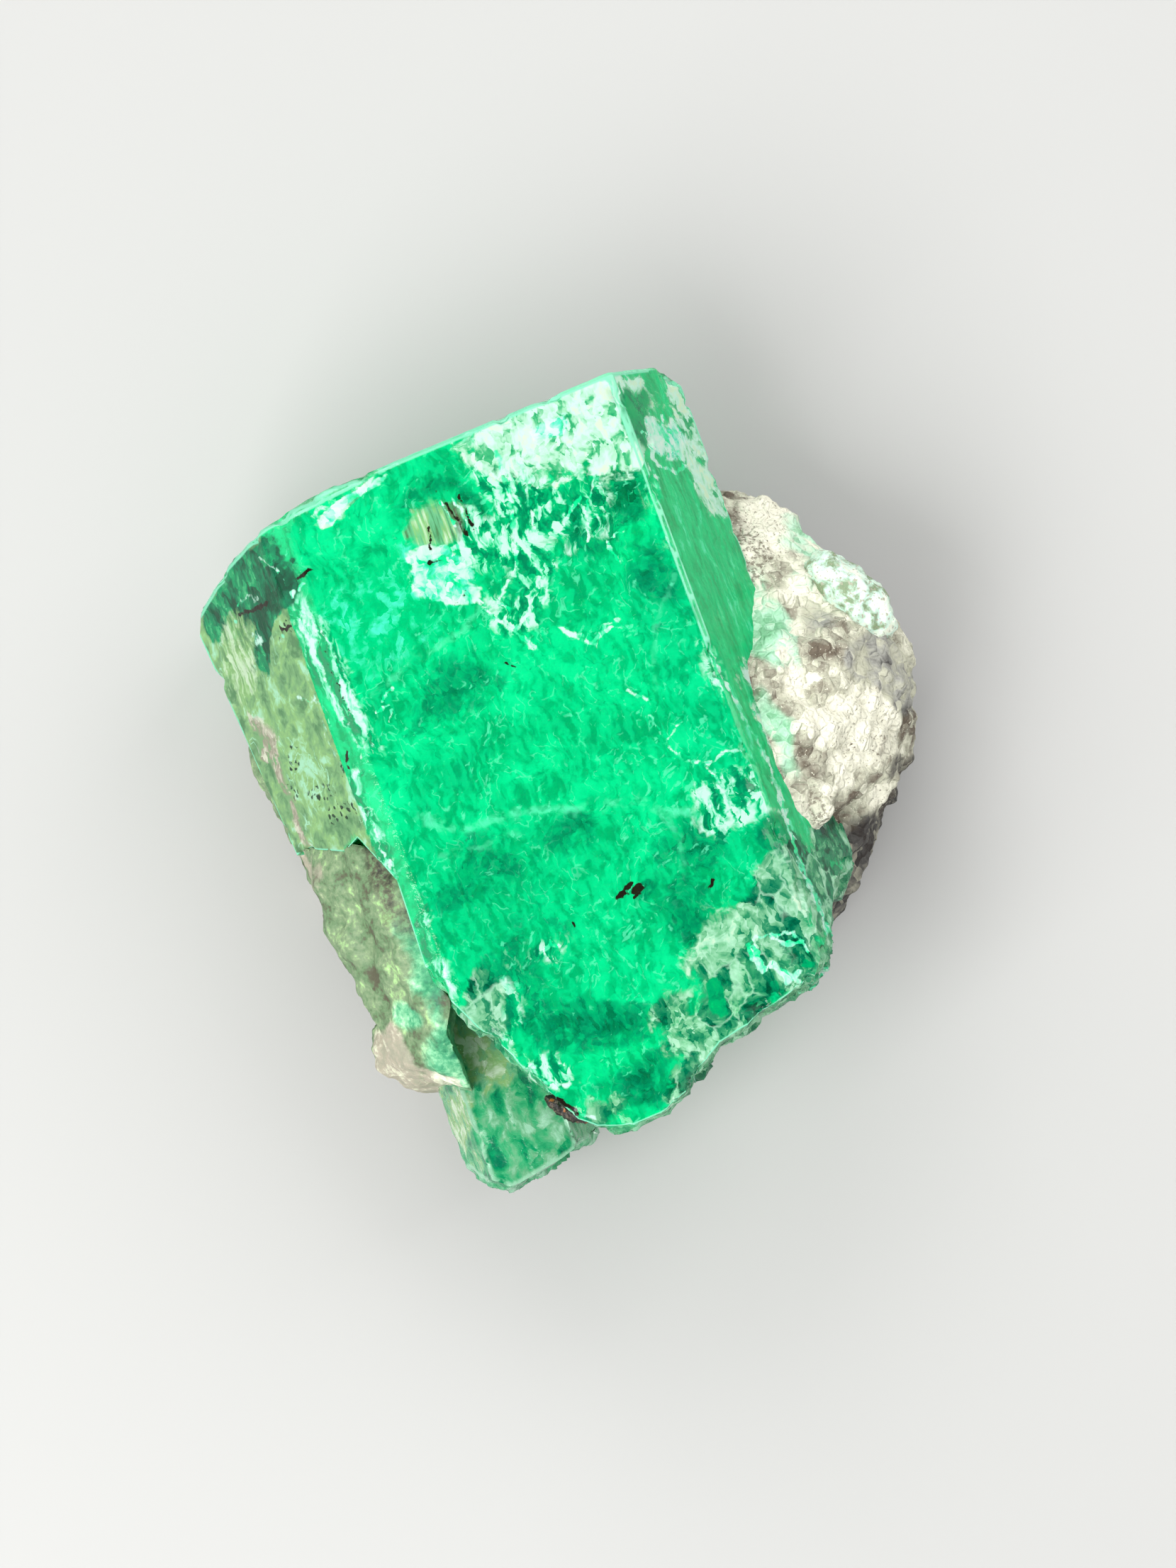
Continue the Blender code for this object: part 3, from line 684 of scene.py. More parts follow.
def grow_onto(bm, tree):
    """Draws the points that lie near the crystals onto them."""
    for vert in bm.verts:
        spot, normal, _, distance = tree.find_nearest(vert.co)
        pull = 1 - smooth_step((distance - BED_REACH) / (BED_FADE - BED_REACH))
        if pull > 0:
            vert.co += (spot - normal * BED_OVERLAP - vert.co) * pull


def rock_relief(spot, coarse, grains, fine):
    """Relief of broken, granular rock."""
    swell = noise.fractal(spot * 0.8, 1.0, 2.1, 3) * coarse
    knots = (0.45 - noise.voronoi(spot / 0.55)[0][0]) * grains
    small = (0.45 - noise.voronoi(spot / 0.24 + Vector((3.1, 0, 0)))[0][0]) * grains * 0.5
    return swell + knots + small + noise.noise(spot * 9.0) * fine


def shape_rock(bm, tree, coarse, grains, fine):
    """Smooths the coarse faces, gives the rock its relief and grows it onto the crystals."""
    smoothed(bm, bm.verts, 2)
    moves = []
    for vert in bm.verts:
        distance = tree.find_nearest(vert.co)[3]
        free = smooth_step((distance - BED_REACH) / 0.5)
        moves.append(vert.normal * (rock_relief(vert.co, coarse, grains, fine) * (0.25 + 0.75 * free)))
    for vert, move in zip(bm.verts, moves):
        vert.co += move
    grow_onto(bm, tree)


def rock_piece(name, node, slot, mineral, tree, relief, stray, areas):
    """One of the rocks, grown onto the crystals, with its soft areas painted on its vertices."""
    bm = merged_copy(node)
    cut_into_cells(bm)
    refine(bm, lambda middle: ROCK_EDGE)
    shape_rock(bm, tree, *relief)
    spots = strayed(places(bm), stray, 0.8)
    fields = {area: area_field(spots, spread) for area, spread in areas.items()}
    mark_sharp(bm, ROCK_CREASE)
    return finished(name, bm, mineral, node, fields)


def grain_piece():
    """The smooth mint-white grain."""
    bm = merged_copy("beryl_grain")
    refine(bm, lambda middle: GRAIN_EDGE)
    smoothed(bm, bm.verts, 6)
    for vert in bm.verts:
        lumps = 0.45 - noise.voronoi(vert.co / 0.5)[0][0]
        vert.co += vert.normal * (0.02 + 0.16 * lumps + 0.08 * noise.fractal(vert.co * 2.5, 1.0, 2.0, 3))
    mark_sharp(bm, ROCK_CREASE)
    finished("mint_grain", bm, mint_grain_material(), "beryl_grain")


def sliver_piece():
    """The dark sliver between the crystals."""
    bm = merged_copy("shale_sliver")
    refine(bm, lambda middle: SLIVER_EDGE)
    bm.normal_update()
    for vert in bm.verts:
        rough = noise.voronoi(vert.co / 0.11)[0][0]
        vert.co += vert.normal * (0.09 * (0.5 - rough) + 0.04)
    mark_sharp(bm, SLIVER_CREASE)
    finished("dark_sliver", bm, shale_material(), "shale_sliver")


# Node helpers

def put(tree, kind, values=None, **settings):
    """Adds a node with its settings, and sets or links its inputs."""
    made = tree.nodes.new(kind)
    for name, value in settings.items():
        setattr(made, name, value)
    for name, value in (values or {}).items():
        if isinstance(value, bpy.types.NodeSocket):
            tree.links.new(value, made.inputs[name])
        else:
            made.inputs[name].default_value = value
    return made


def calc(tree, operation, a, b=0.0, clamp=False):
    """One sum on two values."""
    return put(tree, "ShaderNodeMath", {0: a, 1: b}, operation=operation, use_clamp=clamp).outputs[0]


def plus(tree, a, b):
    """Two values added."""
    return calc(tree, "ADD", a, b)


def minus(tree, a, b):
    """The second value taken from the first."""
    return calc(tree, "SUBTRACT", a, b)


def times(tree, a, b):
    """Two values multiplied."""
    return calc(tree, "MULTIPLY", a, b)


def span(tree, value, low, high):
    """0 at low and 1 at high, eased between them."""
    values = {"Value": value, "From Min": low, "From Max": high, "To Min": 0.0, "To Max": 1.0}
    if low > high:
        values.update({"From Min": high, "From Max": low, "To Min": 1.0, "To Max": 0.0})
    return put(tree, "ShaderNodeMapRange", values, interpolation_type="SMOOTHSTEP").outputs["Result"]


def blend(tree, mask, first, second, way="MIX"):
    """Two colours mixed by a mask."""
    return put(
        tree, "ShaderNodeMix", {0: mask, 6: first, 7: second}, data_type="RGBA", blend_type=way,
    ).outputs[2]


def over(tree, colour, mask, share, top):
    """A colour laid over another by a share of a mask. top is a named colour or a socket."""
    return blend(tree, times(tree, mask, share), colour, paint(top) if isinstance(top, str) else top)


def ramp(tree, value, stops):
    """A colour for each value, through named colours."""
    made = put(tree, "ShaderNodeValToRGB", {"Fac": value})
    band = made.color_ramp.elements
    while len(band) < len(stops):
        band.new(0.5)
    for element, (spot, name) in zip(band, stops):
        element.position = spot
        element.color = paint(name)
    return made.outputs["Color"]


def field(tree, name):
    """A value painted on the piece's vertices."""
    return put(tree, "ShaderNodeAttribute", attribute_name=name, attribute_type="GEOMETRY").outputs["Fac"]


def vector(tree, operation, a, b):
    """One sum on two vectors."""
    return put(tree, "ShaderNodeVectorMath", {0: a, 1: b}, operation=operation).outputs[0]


def here(tree):
    """The place on the piece, in millimetres."""
    return vector(tree, "MULTIPLY", put(tree, "ShaderNodeTexCoord").outputs["Object"], (1 / MM,) * 3)


def stretched(tree, place, scale, turn=(0, 0, 0)):
    """Places turned and scaled for a pattern with a direction."""
    return put(tree, "ShaderNodeMapping", {"Vector": place, "Scale": scale, "Rotation": turn}).outputs[0]


def cloud(tree, place, size, detail=4.0, rough=0.55, output="Fac"):
    """Soft noise of a size in millimetres."""
    values = {"Vector": place, "Scale": 1 / size, "Detail": detail, "Roughness": rough}
    return put(tree, "ShaderNodeTexNoise", values).outputs[output]


def cells(tree, place, size, feature="F1", output="Distance"):
    """A Voronoi pattern with cells of a size in millimetres."""
    return put(
        tree, "ShaderNodeTexVoronoi", {"Vector": place, "Scale": 1 / size}, feature=feature,
    ).outputs[output]


def first_channel(tree, colour):
    """One value out of a colour."""
    return put(tree, "ShaderNodeSeparateColor", {"Color": colour}).outputs[0]


def warped(tree, place, amount, size):
    """Places moved about by soft noise."""
    moved = cloud(tree, place, size, 2.0, 0.5, "Color")
    centred = vector(tree, "SUBTRACT", moved, (0.5, 0.5, 0.5))
    return vector(tree, "ADD", place, vector(tree, "MULTIPLY", centred, (amount * 2,) * 3))


def new_group(name, inputs, outputs):
    """An empty node group. Each input has a kind, and each output too."""
    tree = bpy.data.node_groups.new(name, "ShaderNodeTree")
    for label, kind in inputs:
        tree.interface.new_socket(label, in_out="INPUT", socket_type="NodeSocket" + kind)
    for label, kind in outputs:
        tree.interface.new_socket(label, in_out="OUTPUT", socket_type="NodeSocket" + kind)
    return tree, tree.nodes.new("NodeGroupInput").outputs, tree.nodes.new("NodeGroupOutput").inputs


def drawn_out(tree, given):
    """A group's place, scaled to its length and width."""
    across = calc(tree, "DIVIDE", 1.0, given["Width"])
    along = calc(tree, "DIVIDE", 1.0, given["Length"])
    scale = put(tree, "ShaderNodeCombineXYZ", {"X": across, "Y": along, "Z": across}).outputs[0]
    return vector(tree, "MULTIPLY", given["Place"], scale)


def fleck_group():
    """Short ragged strokes: drawn-out noise above a level."""
    tree, given, result = new_group(
        "flecks", [("Place", "Vector"), ("Length", "Float"), ("Width", "Float"), ("Level", "Float")],
        [("Mask", "Float"), ("Tone", "Float")],
    )
    place = drawn_out(tree, given)
    tone = put(tree, "ShaderNodeTexNoise", {"Vector": place, "Scale": 1.0, "Detail": 1.5}).outputs["Fac"]
    above = minus(tree, tone, given["Level"])
    tree.links.new(calc(tree, "MULTIPLY", above, 14.0, clamp=True), result["Mask"])
    tree.links.new(tone, result["Tone"])
    return tree


def shard_group():
    """Angular fragments: a shade for each, and their borders."""
    tree, given, result = new_group(
        "shards", [("Place", "Vector"), ("Size", "Float"), ("Border", "Float")],
        [("Shade", "Float"), ("Edge", "Float")],
    )
    fineness = calc(tree, "DIVIDE", 1.0, given["Size"])
    turned = put(
        tree, "ShaderNodeMapping",
        {"Vector": given["Place"], "Rotation": (0.3, 0.2, 0.7), "Scale": (1.0, 0.6, 1.0)},
    ).outputs[0]
    colour = put(tree, "ShaderNodeTexVoronoi", {"Vector": turned, "Scale": fineness}).outputs["Color"]
    border = put(
        tree, "ShaderNodeTexVoronoi", {"Vector": turned, "Scale": fineness}, feature="DISTANCE_TO_EDGE",
    ).outputs["Distance"]
    tree.links.new(first_channel(tree, colour), result["Shade"])
    edge = put(
        tree, "ShaderNodeMapRange",
        {"Value": border, "From Min": 0.0, "From Max": given["Border"], "To Min": 1.0, "To Max": 0.0},
    ).outputs["Result"]
    tree.links.new(edge, result["Edge"])
    return tree


def flake_group():
    """Small crumpled flakes, with a shade from 0 to 1 for each."""
    tree, given, result = new_group(
        "flakes", [("Place", "Vector"), ("Length", "Float"), ("Width", "Float")], [("Shade", "Float")],
    )
    place = drawn_out(tree, given)
    colour = put(tree, "ShaderNodeTexVoronoi", {"Vector": place, "Scale": 1.0}).outputs["Color"]
    tree.links.new(first_channel(tree, colour), result["Shade"])
    return tree


def group(name):
    """One of the shared node groups, built once."""
    makers = {"flecks": fleck_group, "shards": shard_group, "flakes": flake_group}
    return bpy.data.node_groups.get(name) or makers[name]()


def use(tree, name, values):
    """Places a shared node group and gives its outputs."""
    return put(tree, "ShaderNodeGroup", values, node_tree=group(name)).outputs


def new_material(name):
    """A material with its shader and its place in millimetres."""
    made = bpy.data.materials.new(name)
    made.use_nodes = True
    tree = made.node_tree
    return made, tree, tree.nodes["Principled BSDF"], here(tree)


def set_shader(tree, shader, colour, roughness, height, depth):
    """Feeds the shader its colour, roughness and bump. depth is the bump's height in millimetres."""
    tree.links.new(colour, shader.inputs["Base Color"])
    tree.links.new(roughness, shader.inputs["Roughness"])
    bump = put(tree, "ShaderNodeBump", {"Height": height, "Strength": 1.0, "Distance": depth * MM})
    tree.links.new(bump.outputs["Normal"], shader.inputs["Normal"])


def absorb(tree, colour, density):
    """A plain absorption of light inside a clear mineral."""
    inside = put(tree, "ShaderNodeVolumeAbsorption", {"Color": colour, "Density": density})
    tree.links.new(inside.outputs[0], tree.nodes["Material Output"].inputs["Volume"])


def painted_area(tree, name, low, high, ragged):
    """The mask of a painted area, with its border broken up by a value around 0."""
    value = field(tree, name)
    return times(tree, span(tree, plus(tree, value, ragged), low, high), span(tree, value, 0.0, 0.08))


def drawn_mark(tree, name, jag, low, high):
    """The mask of a painted mark with jagged sides."""
    value = field(tree, name)
    return times(tree, span(tree, plus(tree, value, jag), low, high), span(tree, value, 0.0, 0.2))


def flecks(tree, place, length, width, level, output="Mask"):
    """The mask of short strokes."""
    values = {"Place": place, "Length": length, "Width": width, "Level": level}
    return use(tree, "flecks", values)[output]


def emerald_material():
    """Included emerald: glassy green with clouds, strokes, veils, and frosted, sage and broken places, with
    a painted highlight along its edges and painted shade in some dark patches.
    """
    made, tree, shader, place = new_material("included_emerald")
    wander = warped(tree, place, 0.3, 0.9)
    crumpled = warped(tree, wander, 0.07, 0.13)
    clouds = cloud(tree, wander, 1.5, 2.0, 0.6)
    mottle = cloud(tree, crumpled, 0.45, 3.0, 0.62)
    grain = cloud(tree, place, 0.15, 2.0, 0.6)
    flake = use(tree, "flakes", {"Place": crumpled, "Length": 0.26, "Width": 0.13})["Shade"]
    shards = use(tree, "shards", {"Place": crumpled, "Size": 0.55, "Border": 0.06})
    shard, shard_edge = shards["Shade"], shards["Edge"]
    tone = plus(tree, times(tree, clouds, 0.5), times(tree, mottle, 0.5))
    ragged = times(tree, minus(tree, tone, 0.5), 2.8)
    sharp_mottle = plus(tree, times(tree, minus(tree, mottle, 0.5), 2.6), 0.5)
    frosty = plus(tree, times(tree, flake, 0.4), times(tree, sharp_mottle, 0.6))

    colour = ramp(tree, tone, (
        (0.36, "deep green"), (0.42, "leaf green"), (0.48, "body green"), (0.54, "face green"),
        (0.63, "bright green"),
    ))
    strand = cloud(tree, stretched(tree, crumpled, (1, 0.55, 1), (0, 0, 0.4)), 0.3, 1.0)
    off_middle = calc(tree, "ABSOLUTE", minus(tree, strand, 0.5))
    hair = span(tree, off_middle, 0.03, 0.004)
    dark_hair = times(tree, hair, span(tree, mottle, 0.5, 0.43))
    colour = over(tree, colour, dark_hair, 0.75, "deep green")
    light_hair = times(tree, hair, span(tree, mottle, 0.49, 0.55))
    colour = over(tree, colour, light_hair, 0.65, "fresh mint")
    strokes = flecks(tree, crumpled, 0.42, 0.15, 0.5, "Tone")
    smudges = span(tree, strokes, 0.4, 0.62)
    colour = over(tree, colour, smudges, 0.5, "bright green")
    dim = span(tree, strokes, 0.46, 0.36)
    colour = over(tree, colour, dim, 0.45, "leaf green")

    # Dark patches: darker green of the stone, with painted shade along the right inner border and at the
    # top.
    deep = painted_area(tree, "deep", 0.15, 0.5, ragged)
    dark = ramp(tree, frosty, (
        (0.25, "forest"), (0.48, "teal"), (0.68, "deep green"), (0.9, "leaf green"),
    ))
    colour = over(tree, colour, deep, 0.82, dark)
    cyan = painted_area(tree, "cyan", 0.05, 0.6, ragged)
    cyan_colour = ramp(tree, frosty, ((0.3, "body green"), (0.55, "face green"), (0.85, "cyan mint")))
    colour = blend(tree, cyan, colour, cyan_colour)

    lively = field(tree, "lively")
    level = minus(tree, 0.7, times(tree, lively, 0.1))
    turned = stretched(tree, crumpled, (1, 1, 1), (0, 0, 0.9))
    ticks = flecks(tree, turned, 0.36, 0.12, level)
    colour = over(tree, colour, ticks, 0.6, "fresh mint")

    veil = painted_area(tree, "veil", 0.05, 0.45, ragged)
    streaks = cloud(tree, stretched(tree, crumpled, (5.0, 0.7, 5.0)), 1.0, 2.0, 0.6)
    veil_tone = plus(tree, times(tree, flake, 0.35), times(tree, streaks, 1.5))
    veil_tone = plus(tree, veil_tone, times(tree, sharp_mottle, 0.3))
    veil_colour = ramp(tree, minus(tree, veil_tone, 0.57), (
        (0.26, "teal"), (0.38, "deep green"), (0.49, "body green"), (0.58, "mint"), (0.72, "white mint"),
    ))
    colour = over(tree, colour, veil, 0.9, veil_colour)
    band = painted_area(tree, "band", 0.05, 0.4, ragged)
    band_colour = ramp(tree, streaks, (
        (0.34, "dark sage"), (0.42, "deep green"), (0.48, "body green"), (0.56, "mint"),
        (0.66, "white mint"),
    ))
    colour = blend(tree, band, colour, band_colour)

    right_flank = field(tree, "right_flank")
    flank_streaks = ramp(tree, streaks, (
        (0.34, "leaf green"), (0.45, "body green"), (0.6, "face green"), (0.74, "fresh mint"),
    ))
    colour = over(tree, colour, right_flank, 0.95, flank_streaks)

    sage_tone = plus(tree, times(tree, shard, 0.35), times(tree, frosty, 0.65))
    sage = ramp(tree, sage_tone, (
        (0.22, "forest"), (0.35, "teal"), (0.48, "dark sage"), (0.6, "sage"), (0.76, "pale mint"),
        (0.92, "cream"),
    ))
    sage_edge = times(tree, shard_edge, span(tree, clouds, 0.46, 0.56))
    sage = over(tree, sage, sage_edge, 0.7, "pale mint")
    sage_mask = painted_area(tree, "sage", 0.1, 0.4, ragged)
    colour = blend(tree, sage_mask, colour, sage)

    frost_mask = painted_area(tree, "frost", 0.08, 0.38, ragged)
    frost = ramp(tree, frosty, (
        (0.1, "deep green"), (0.25, "soft green"), (0.39, "pale mint"), (0.59, "white mint"),
        (0.82, "cream"),
    ))
    colour = blend(tree, frost_mask, colour, frost)
    window = painted_area(tree, "window", 0.18, 0.36, times(tree, ragged, 0.5))
    window_colour = ramp(tree, frosty, ((0.15, "teal"), (0.5, "deep green"), (0.85, "leaf green")))
    colour = blend(tree, window, colour, window_colour)

    broken = field(tree, "broken")
    broken_colour = ramp(tree, frosty, (
        (0.25, "teal"), (0.4, "dark sage"), (0.55, "sage"), (0.75, "pale mint"),
    ))
    colour = over(tree, colour, broken, 0.7, broken_colour)

    flank = field(tree, "flank")
    flank_colour = ramp(tree, plus(tree, times(tree, tone, 0.6), times(tree, mottle, 0.4)), (
        (0.38, "flank shade"), (0.47, "flank sage"), (0.54, "olive"), (0.62, "pale mint"),
    ))
    dots = cells(tree, crumpled, 0.17)
    pits = times(tree, painted_area(tree, "pits", 0.1, 0.3, ragged), span(tree, dots, 0.42, 0.3))
    flank_colour = blend(tree, pits, flank_colour, paint("pit"))
    flank_colour = over(tree, flank_colour, hair, span(tree, clouds, 0.5, 0.58), "pale mint")
    colour = blend(tree, flank, colour, flank_colour)
    corner = painted_area(tree, "corner", 0.12, 0.3, times(tree, ragged, 0.7))
    corner_colour = ramp(tree, sage_tone, (
        (0.3, "forest"), (0.52, "teal"), (0.7, "deep green"), (0.84, "soft green"), (0.95, "mint"),
    ))
    colour = blend(tree, corner, colour, corner_colour)
    olive = painted_area(tree, "olive", 0.1, 0.4, ragged)
    olive_colour = ramp(tree, streaks, ((0.38, "flank shade"), (0.5, "olive"), (0.62, "cream")))
    colour = over(tree, colour, olive, 0.8, olive_colour)
    pink_colour = ramp(tree, frosty, ((0.3, "flank sage"), (0.5, "pink"), (0.8, "chalk")))
    colour = blend(tree, painted_area(tree, "pink", 0.1, 0.5, ragged), colour, pink_colour)

    stripes = cloud(tree, stretched(tree, place, (9.0, 0.9, 9.0)), 1.0, 2.0, 0.5)
    block_colour = ramp(tree, stripes, (
        (0.3, "brown"), (0.38, "flank shade"), (0.47, "sage"), (0.55, "olive"), (0.66, "cream"),
    ))
    block = times(tree, painted_area(tree, "block", 0.1, 0.6, ragged), 0.85)
    colour = blend(tree, block, colour, block_colour)
    foam = painted_area(tree, "foam", 0.1, 0.35, ragged)
    foam_colour = ramp(tree, frosty, (
        (0.15, "face green"), (0.32, "cyan mint"), (0.55, "white mint"), (0.8, "white"),
    ))
    colour = over(tree, colour, foam, 0.85, foam_colour)

    # Painted highlight: a mint line along the sharp edges.
    rim_line = times(tree, span(tree, field(tree, "rim"), 1.0, 0.4), span(tree, clouds, 0.3, 0.42))
    colour = over(tree, colour, rim_line, 0.95, "mint")
    jag = times(tree, minus(tree, grain, 0.5), 1.6)
    jag = plus(tree, jag, times(tree, minus(tree, flake, 0.5), 0.25))
    soft_line = times(tree, field(tree, "soft_mark"), span(tree, sharp_mottle, 0.2, 0.8))
    colour = over(tree, colour, soft_line, 0.75, "fresh mint")
    colour = blend(tree, drawn_mark(tree, "dark_mark", jag, 0.4, 0.7), colour, paint("umber"))
    # White marks, and the painted highlight along the front-right edge.
    white_and_highlight_mark = drawn_mark(tree, "white_and_highlight_mark", jag, 0.3, 0.85)
    mark_colour = ramp(tree, frosty, ((0.25, "bright green"), (0.42, "fresh mint"), (0.62, "white mint")))
    colour = blend(tree, white_and_highlight_mark, colour, mark_colour)

    rough = times(tree, frost_mask, 0.25)
    rough = plus(tree, rough, times(tree, flank, 0.3))
    rough = plus(tree, rough, times(tree, broken, 0.12))
    rough = plus(tree, rough, times(tree, grain, 0.25))
    lines = cloud(tree, stretched(tree, place, (9.0, 0.35, 9.0)), 1.0, 1.0, 0.6)
    height = plus(tree, times(tree, lines, 0.35), times(tree, grain, 0.4))
    set_shader(tree, shader, colour, rough, height, 0.035)
    shader.inputs["Transmission Weight"].default_value = CLARITY
    shader.inputs["IOR"].default_value = EMERALD_IOR
    shader.inputs["Specular IOR Level"].default_value = EMERALD_GLOSS
    absorb(tree, EMERALD_INSIDE, EMERALD_DENSITY)
    return made


def pale_emerald_material():
    """Cloudier, paler emerald with lengthwise ridges and a painted mint highlight along its edges."""
    made, tree, shader, place = new_material("pale_emerald")
    wander = warped(tree, place, 0.25, 0.8)
    clouds = cloud(tree, wander, 0.7, 4.0, 0.62)
    grain = cloud(tree, wander, 0.18, 3.0, 0.6)
    ridges = flecks(tree, wander, 0.8, 0.22, 0.5, "Tone")
    tone = plus(tree, times(tree, clouds, 0.7), times(tree, ridges, 0.3))
    crumpled = warped(tree, wander, 0.08, 0.15)
    flake = use(tree, "flakes", {"Place": crumpled, "Length": 0.35, "Width": 0.2})["Shade"]
    mixed = plus(tree, times(tree, tone, 0.88), times(tree, flake, 0.12))
    colour = ramp(tree, mixed, (
        (0.36, "teal"), (0.43, "deep green"), (0.5, "soft green"), (0.56, "sage"), (0.62, "pale mint"),
    ))
    crusted = painted_area(tree, "crusted", 0.1, 0.5, times(tree, minus(tree, clouds, 0.5), 2.0))
    crust = ramp(tree, mixed, ((0.38, "dark sage"), (0.46, "sage"), (0.54, "olive"), (0.62, "cream")))
    colour = blend(tree, crusted, colour, crust)
    broken = field(tree, "broken")
    broken_colour = ramp(tree, mixed, ((0.35, "dark sage"), (0.48, "soft green"), (0.6, "pale mint")))
    colour = over(tree, colour, broken, 0.7, broken_colour)
    # Painted highlight: a pale mint line along the sharp edges.
    rim_line = times(tree, span(tree, field(tree, "rim"), 1.0, 0.3), span(tree, clouds, 0.34, 0.44))
    colour = over(tree, colour, rim_line, 0.8, "pale mint")
    rough = plus(tree, times(tree, grain, 0.35), 0.05)
    height = plus(tree, times(tree, ridges, 0.8), times(tree, grain, 0.5))
    set_shader(tree, shader, colour, rough, height, 0.04)
    shader.inputs["Transmission Weight"].default_value = CLARITY
    shader.inputs["IOR"].default_value = PALE_IOR
    shader.inputs["Specular IOR Level"].default_value = PALE_GLOSS
    absorb(tree, PALE_INSIDE, PALE_DENSITY)
    return made


def cream_rock_material():
    """Granular cream rock with brown gaps, grey and mint places and a dark underside, darkened by painted
    shade.
    """
    made, tree, shader, place = new_material("cream_rock")
    wander = warped(tree, place, 0.1, 0.4)
    grain_shade = first_channel(tree, cells(tree, wander, 0.24, output="Color"))
    grain_edge = cells(tree, wander, 0.24, "DISTANCE_TO_EDGE")
    patches = cloud(tree, place, 1.1, 6.0, 0.6)
    fine = cloud(tree, place, 0.07, 4.0, 0.65)
    tone = plus(tree, times(tree, patches, 0.85), times(tree, grain_shade, 0.15))
    colour = ramp(tree, tone, (
        (0.38, "brown"), (0.46, "beige"), (0.53, "sand"), (0.62, "chalk"),
    ))
    colour = blend(tree, span(tree, fine, 0.6, 0.68), colour, paint("chalk"))
    colour = over(tree, colour, span(tree, fine, 0.4, 0.32), 0.8, "brown")
    shift = times(tree, minus(tree, patches, 0.5), 1.2)
    chalk = painted_area(tree, "chalk", 0.1, 0.5, shift)
    colour = over(tree, colour, chalk, span(tree, fine, 0.36, 0.46), "chalk")
    grey = ramp(tree, tone, ((0.36, "slate"), (0.46, "grey"), (0.58, "sand")))
    colour = blend(tree, painted_area(tree, "grey", 0.15, 0.4, shift), colour, grey)
    mint = ramp(tree, tone, ((0.38, "sage"), (0.48, "pale mint"), (0.6, "chalk")))
    colour = over(tree, colour, painted_area(tree, "mint", 0.1, 0.5, shift), 0.8, mint)
    # Dark rock on the lower right underside, with painted shade.
    dark = ramp(tree, tone, ((0.38, "umber"), (0.5, "slate"), (0.62, "beige")))
    colour = blend(tree, painted_area(tree, "dark", 0.1, 0.4, shift), colour, dark)
    gaps = painted_area(tree, "gaps", 0.05, 0.4, shift)
    gap_mask = times(tree, gaps, span(tree, plus(tree, grain_edge, fine), 0.62, 0.5))
    colour = over(tree, colour, gap_mask, 0.75, "brown")
    # Painted shade: the rock darkens to black towards the bottom, where its underside is in shadow.
    height_z = put(tree, "ShaderNodeSeparateXYZ", {"Vector": place}).outputs["Z"]
    low = times(tree, span(tree, plus(tree, height_z, times(tree, shift, 2.0)), 3.2, 1.6), 0.9)
    colour = blend(tree, low, colour, ramp(tree, fine, ((0.4, "black"), (0.54, "slate"), (0.68, "beige"))))
    rough = plus(tree, times(tree, fine, 0.4), 0.5)
    height = plus(tree, times(tree, fine, 0.9), times(tree, span(tree, grain_edge, 0.0, 0.25), 0.7))
    set_shader(tree, shader, colour, rough, height, 0.06)
    return made


def crust_material():
    """Grey-green crust, pinkish on the knob, with painted shade in dark olive-brown where it meets the
    crystal.
    """
    made, tree, shader, place = new_material("green_crust")
    wander = warped(tree, place, 0.15, 0.5)
    patches = cloud(tree, wander, 0.8, 5.0, 0.62)
    fine = cloud(tree, place, 0.14, 3.0, 0.6)
    lumps = cells(tree, warped(tree, wander, 0.1, 0.2), 0.42)
    tone = plus(tree, times(tree, patches, 0.6), times(tree, fine, 0.3))
    tone = plus(tree, tone, times(tree, minus(tree, 1.0, lumps), 0.1))
    colour = ramp(tree, tone, (
        (0.38, "crust brown"), (0.46, "crust green"), (0.54, "crust pale"), (0.62, "olive"),
        (0.74, "cream"),
    ))
    shift = times(tree, minus(tree, patches, 0.5), 1.2)
    green = ramp(tree, tone, ((0.38, "teal"), (0.47, "dark sage"), (0.56, "sage"), (0.7, "cream")))
    colour = over(tree, colour, painted_area(tree, "green", 0.1, 0.5, shift), 0.85, green)
    pink = ramp(tree, tone, ((0.42, "beige"), (0.52, "pink"), (0.66, "chalk")))
    colour = over(tree, colour, painted_area(tree, "pink", 0.1, 0.4, shift), 0.75, pink)
    # Painted shade: dark brown in the recess beside the crystal.
    shade = ramp(tree, fine, ((0.38, "umber"), (0.5, "crust brown"), (0.62, "crust green")))
    colour = over(tree, colour, painted_area(tree, "shade", 0.0, 0.7, shift), 0.9, shade)
    rough = plus(tree, times(tree, fine, 0.4), 0.42)
    set_shader(tree, shader, colour, rough, plus(tree, fine, patches), 0.035)
    return made


def mint_grain_material():
    """Waxy mint-white beryl."""
    made, tree, shader, place = new_material("mint_beryl")
    clouds = cloud(tree, warped(tree, place, 0.2, 0.6), 0.5, 5.0, 0.6)
    fine = cloud(tree, place, 0.08, 3.0, 0.6)
    colour = ramp(tree, clouds, ((0.4, "crust pale"), (0.5, "grey mint"), (0.7, "chalk")))
    colour = blend(tree, span(tree, fine, 0.44, 0.36), colour, paint("beige"))
    rough = plus(tree, times(tree, fine, 0.3), 0.22)
    set_shader(tree, shader, colour, rough, plus(tree, fine, clouds), 0.03)
    shader.inputs["Subsurface Weight"].default_value = 0.1
    shader.inputs["Subsurface Scale"].default_value = 0.4 * MM
    return made


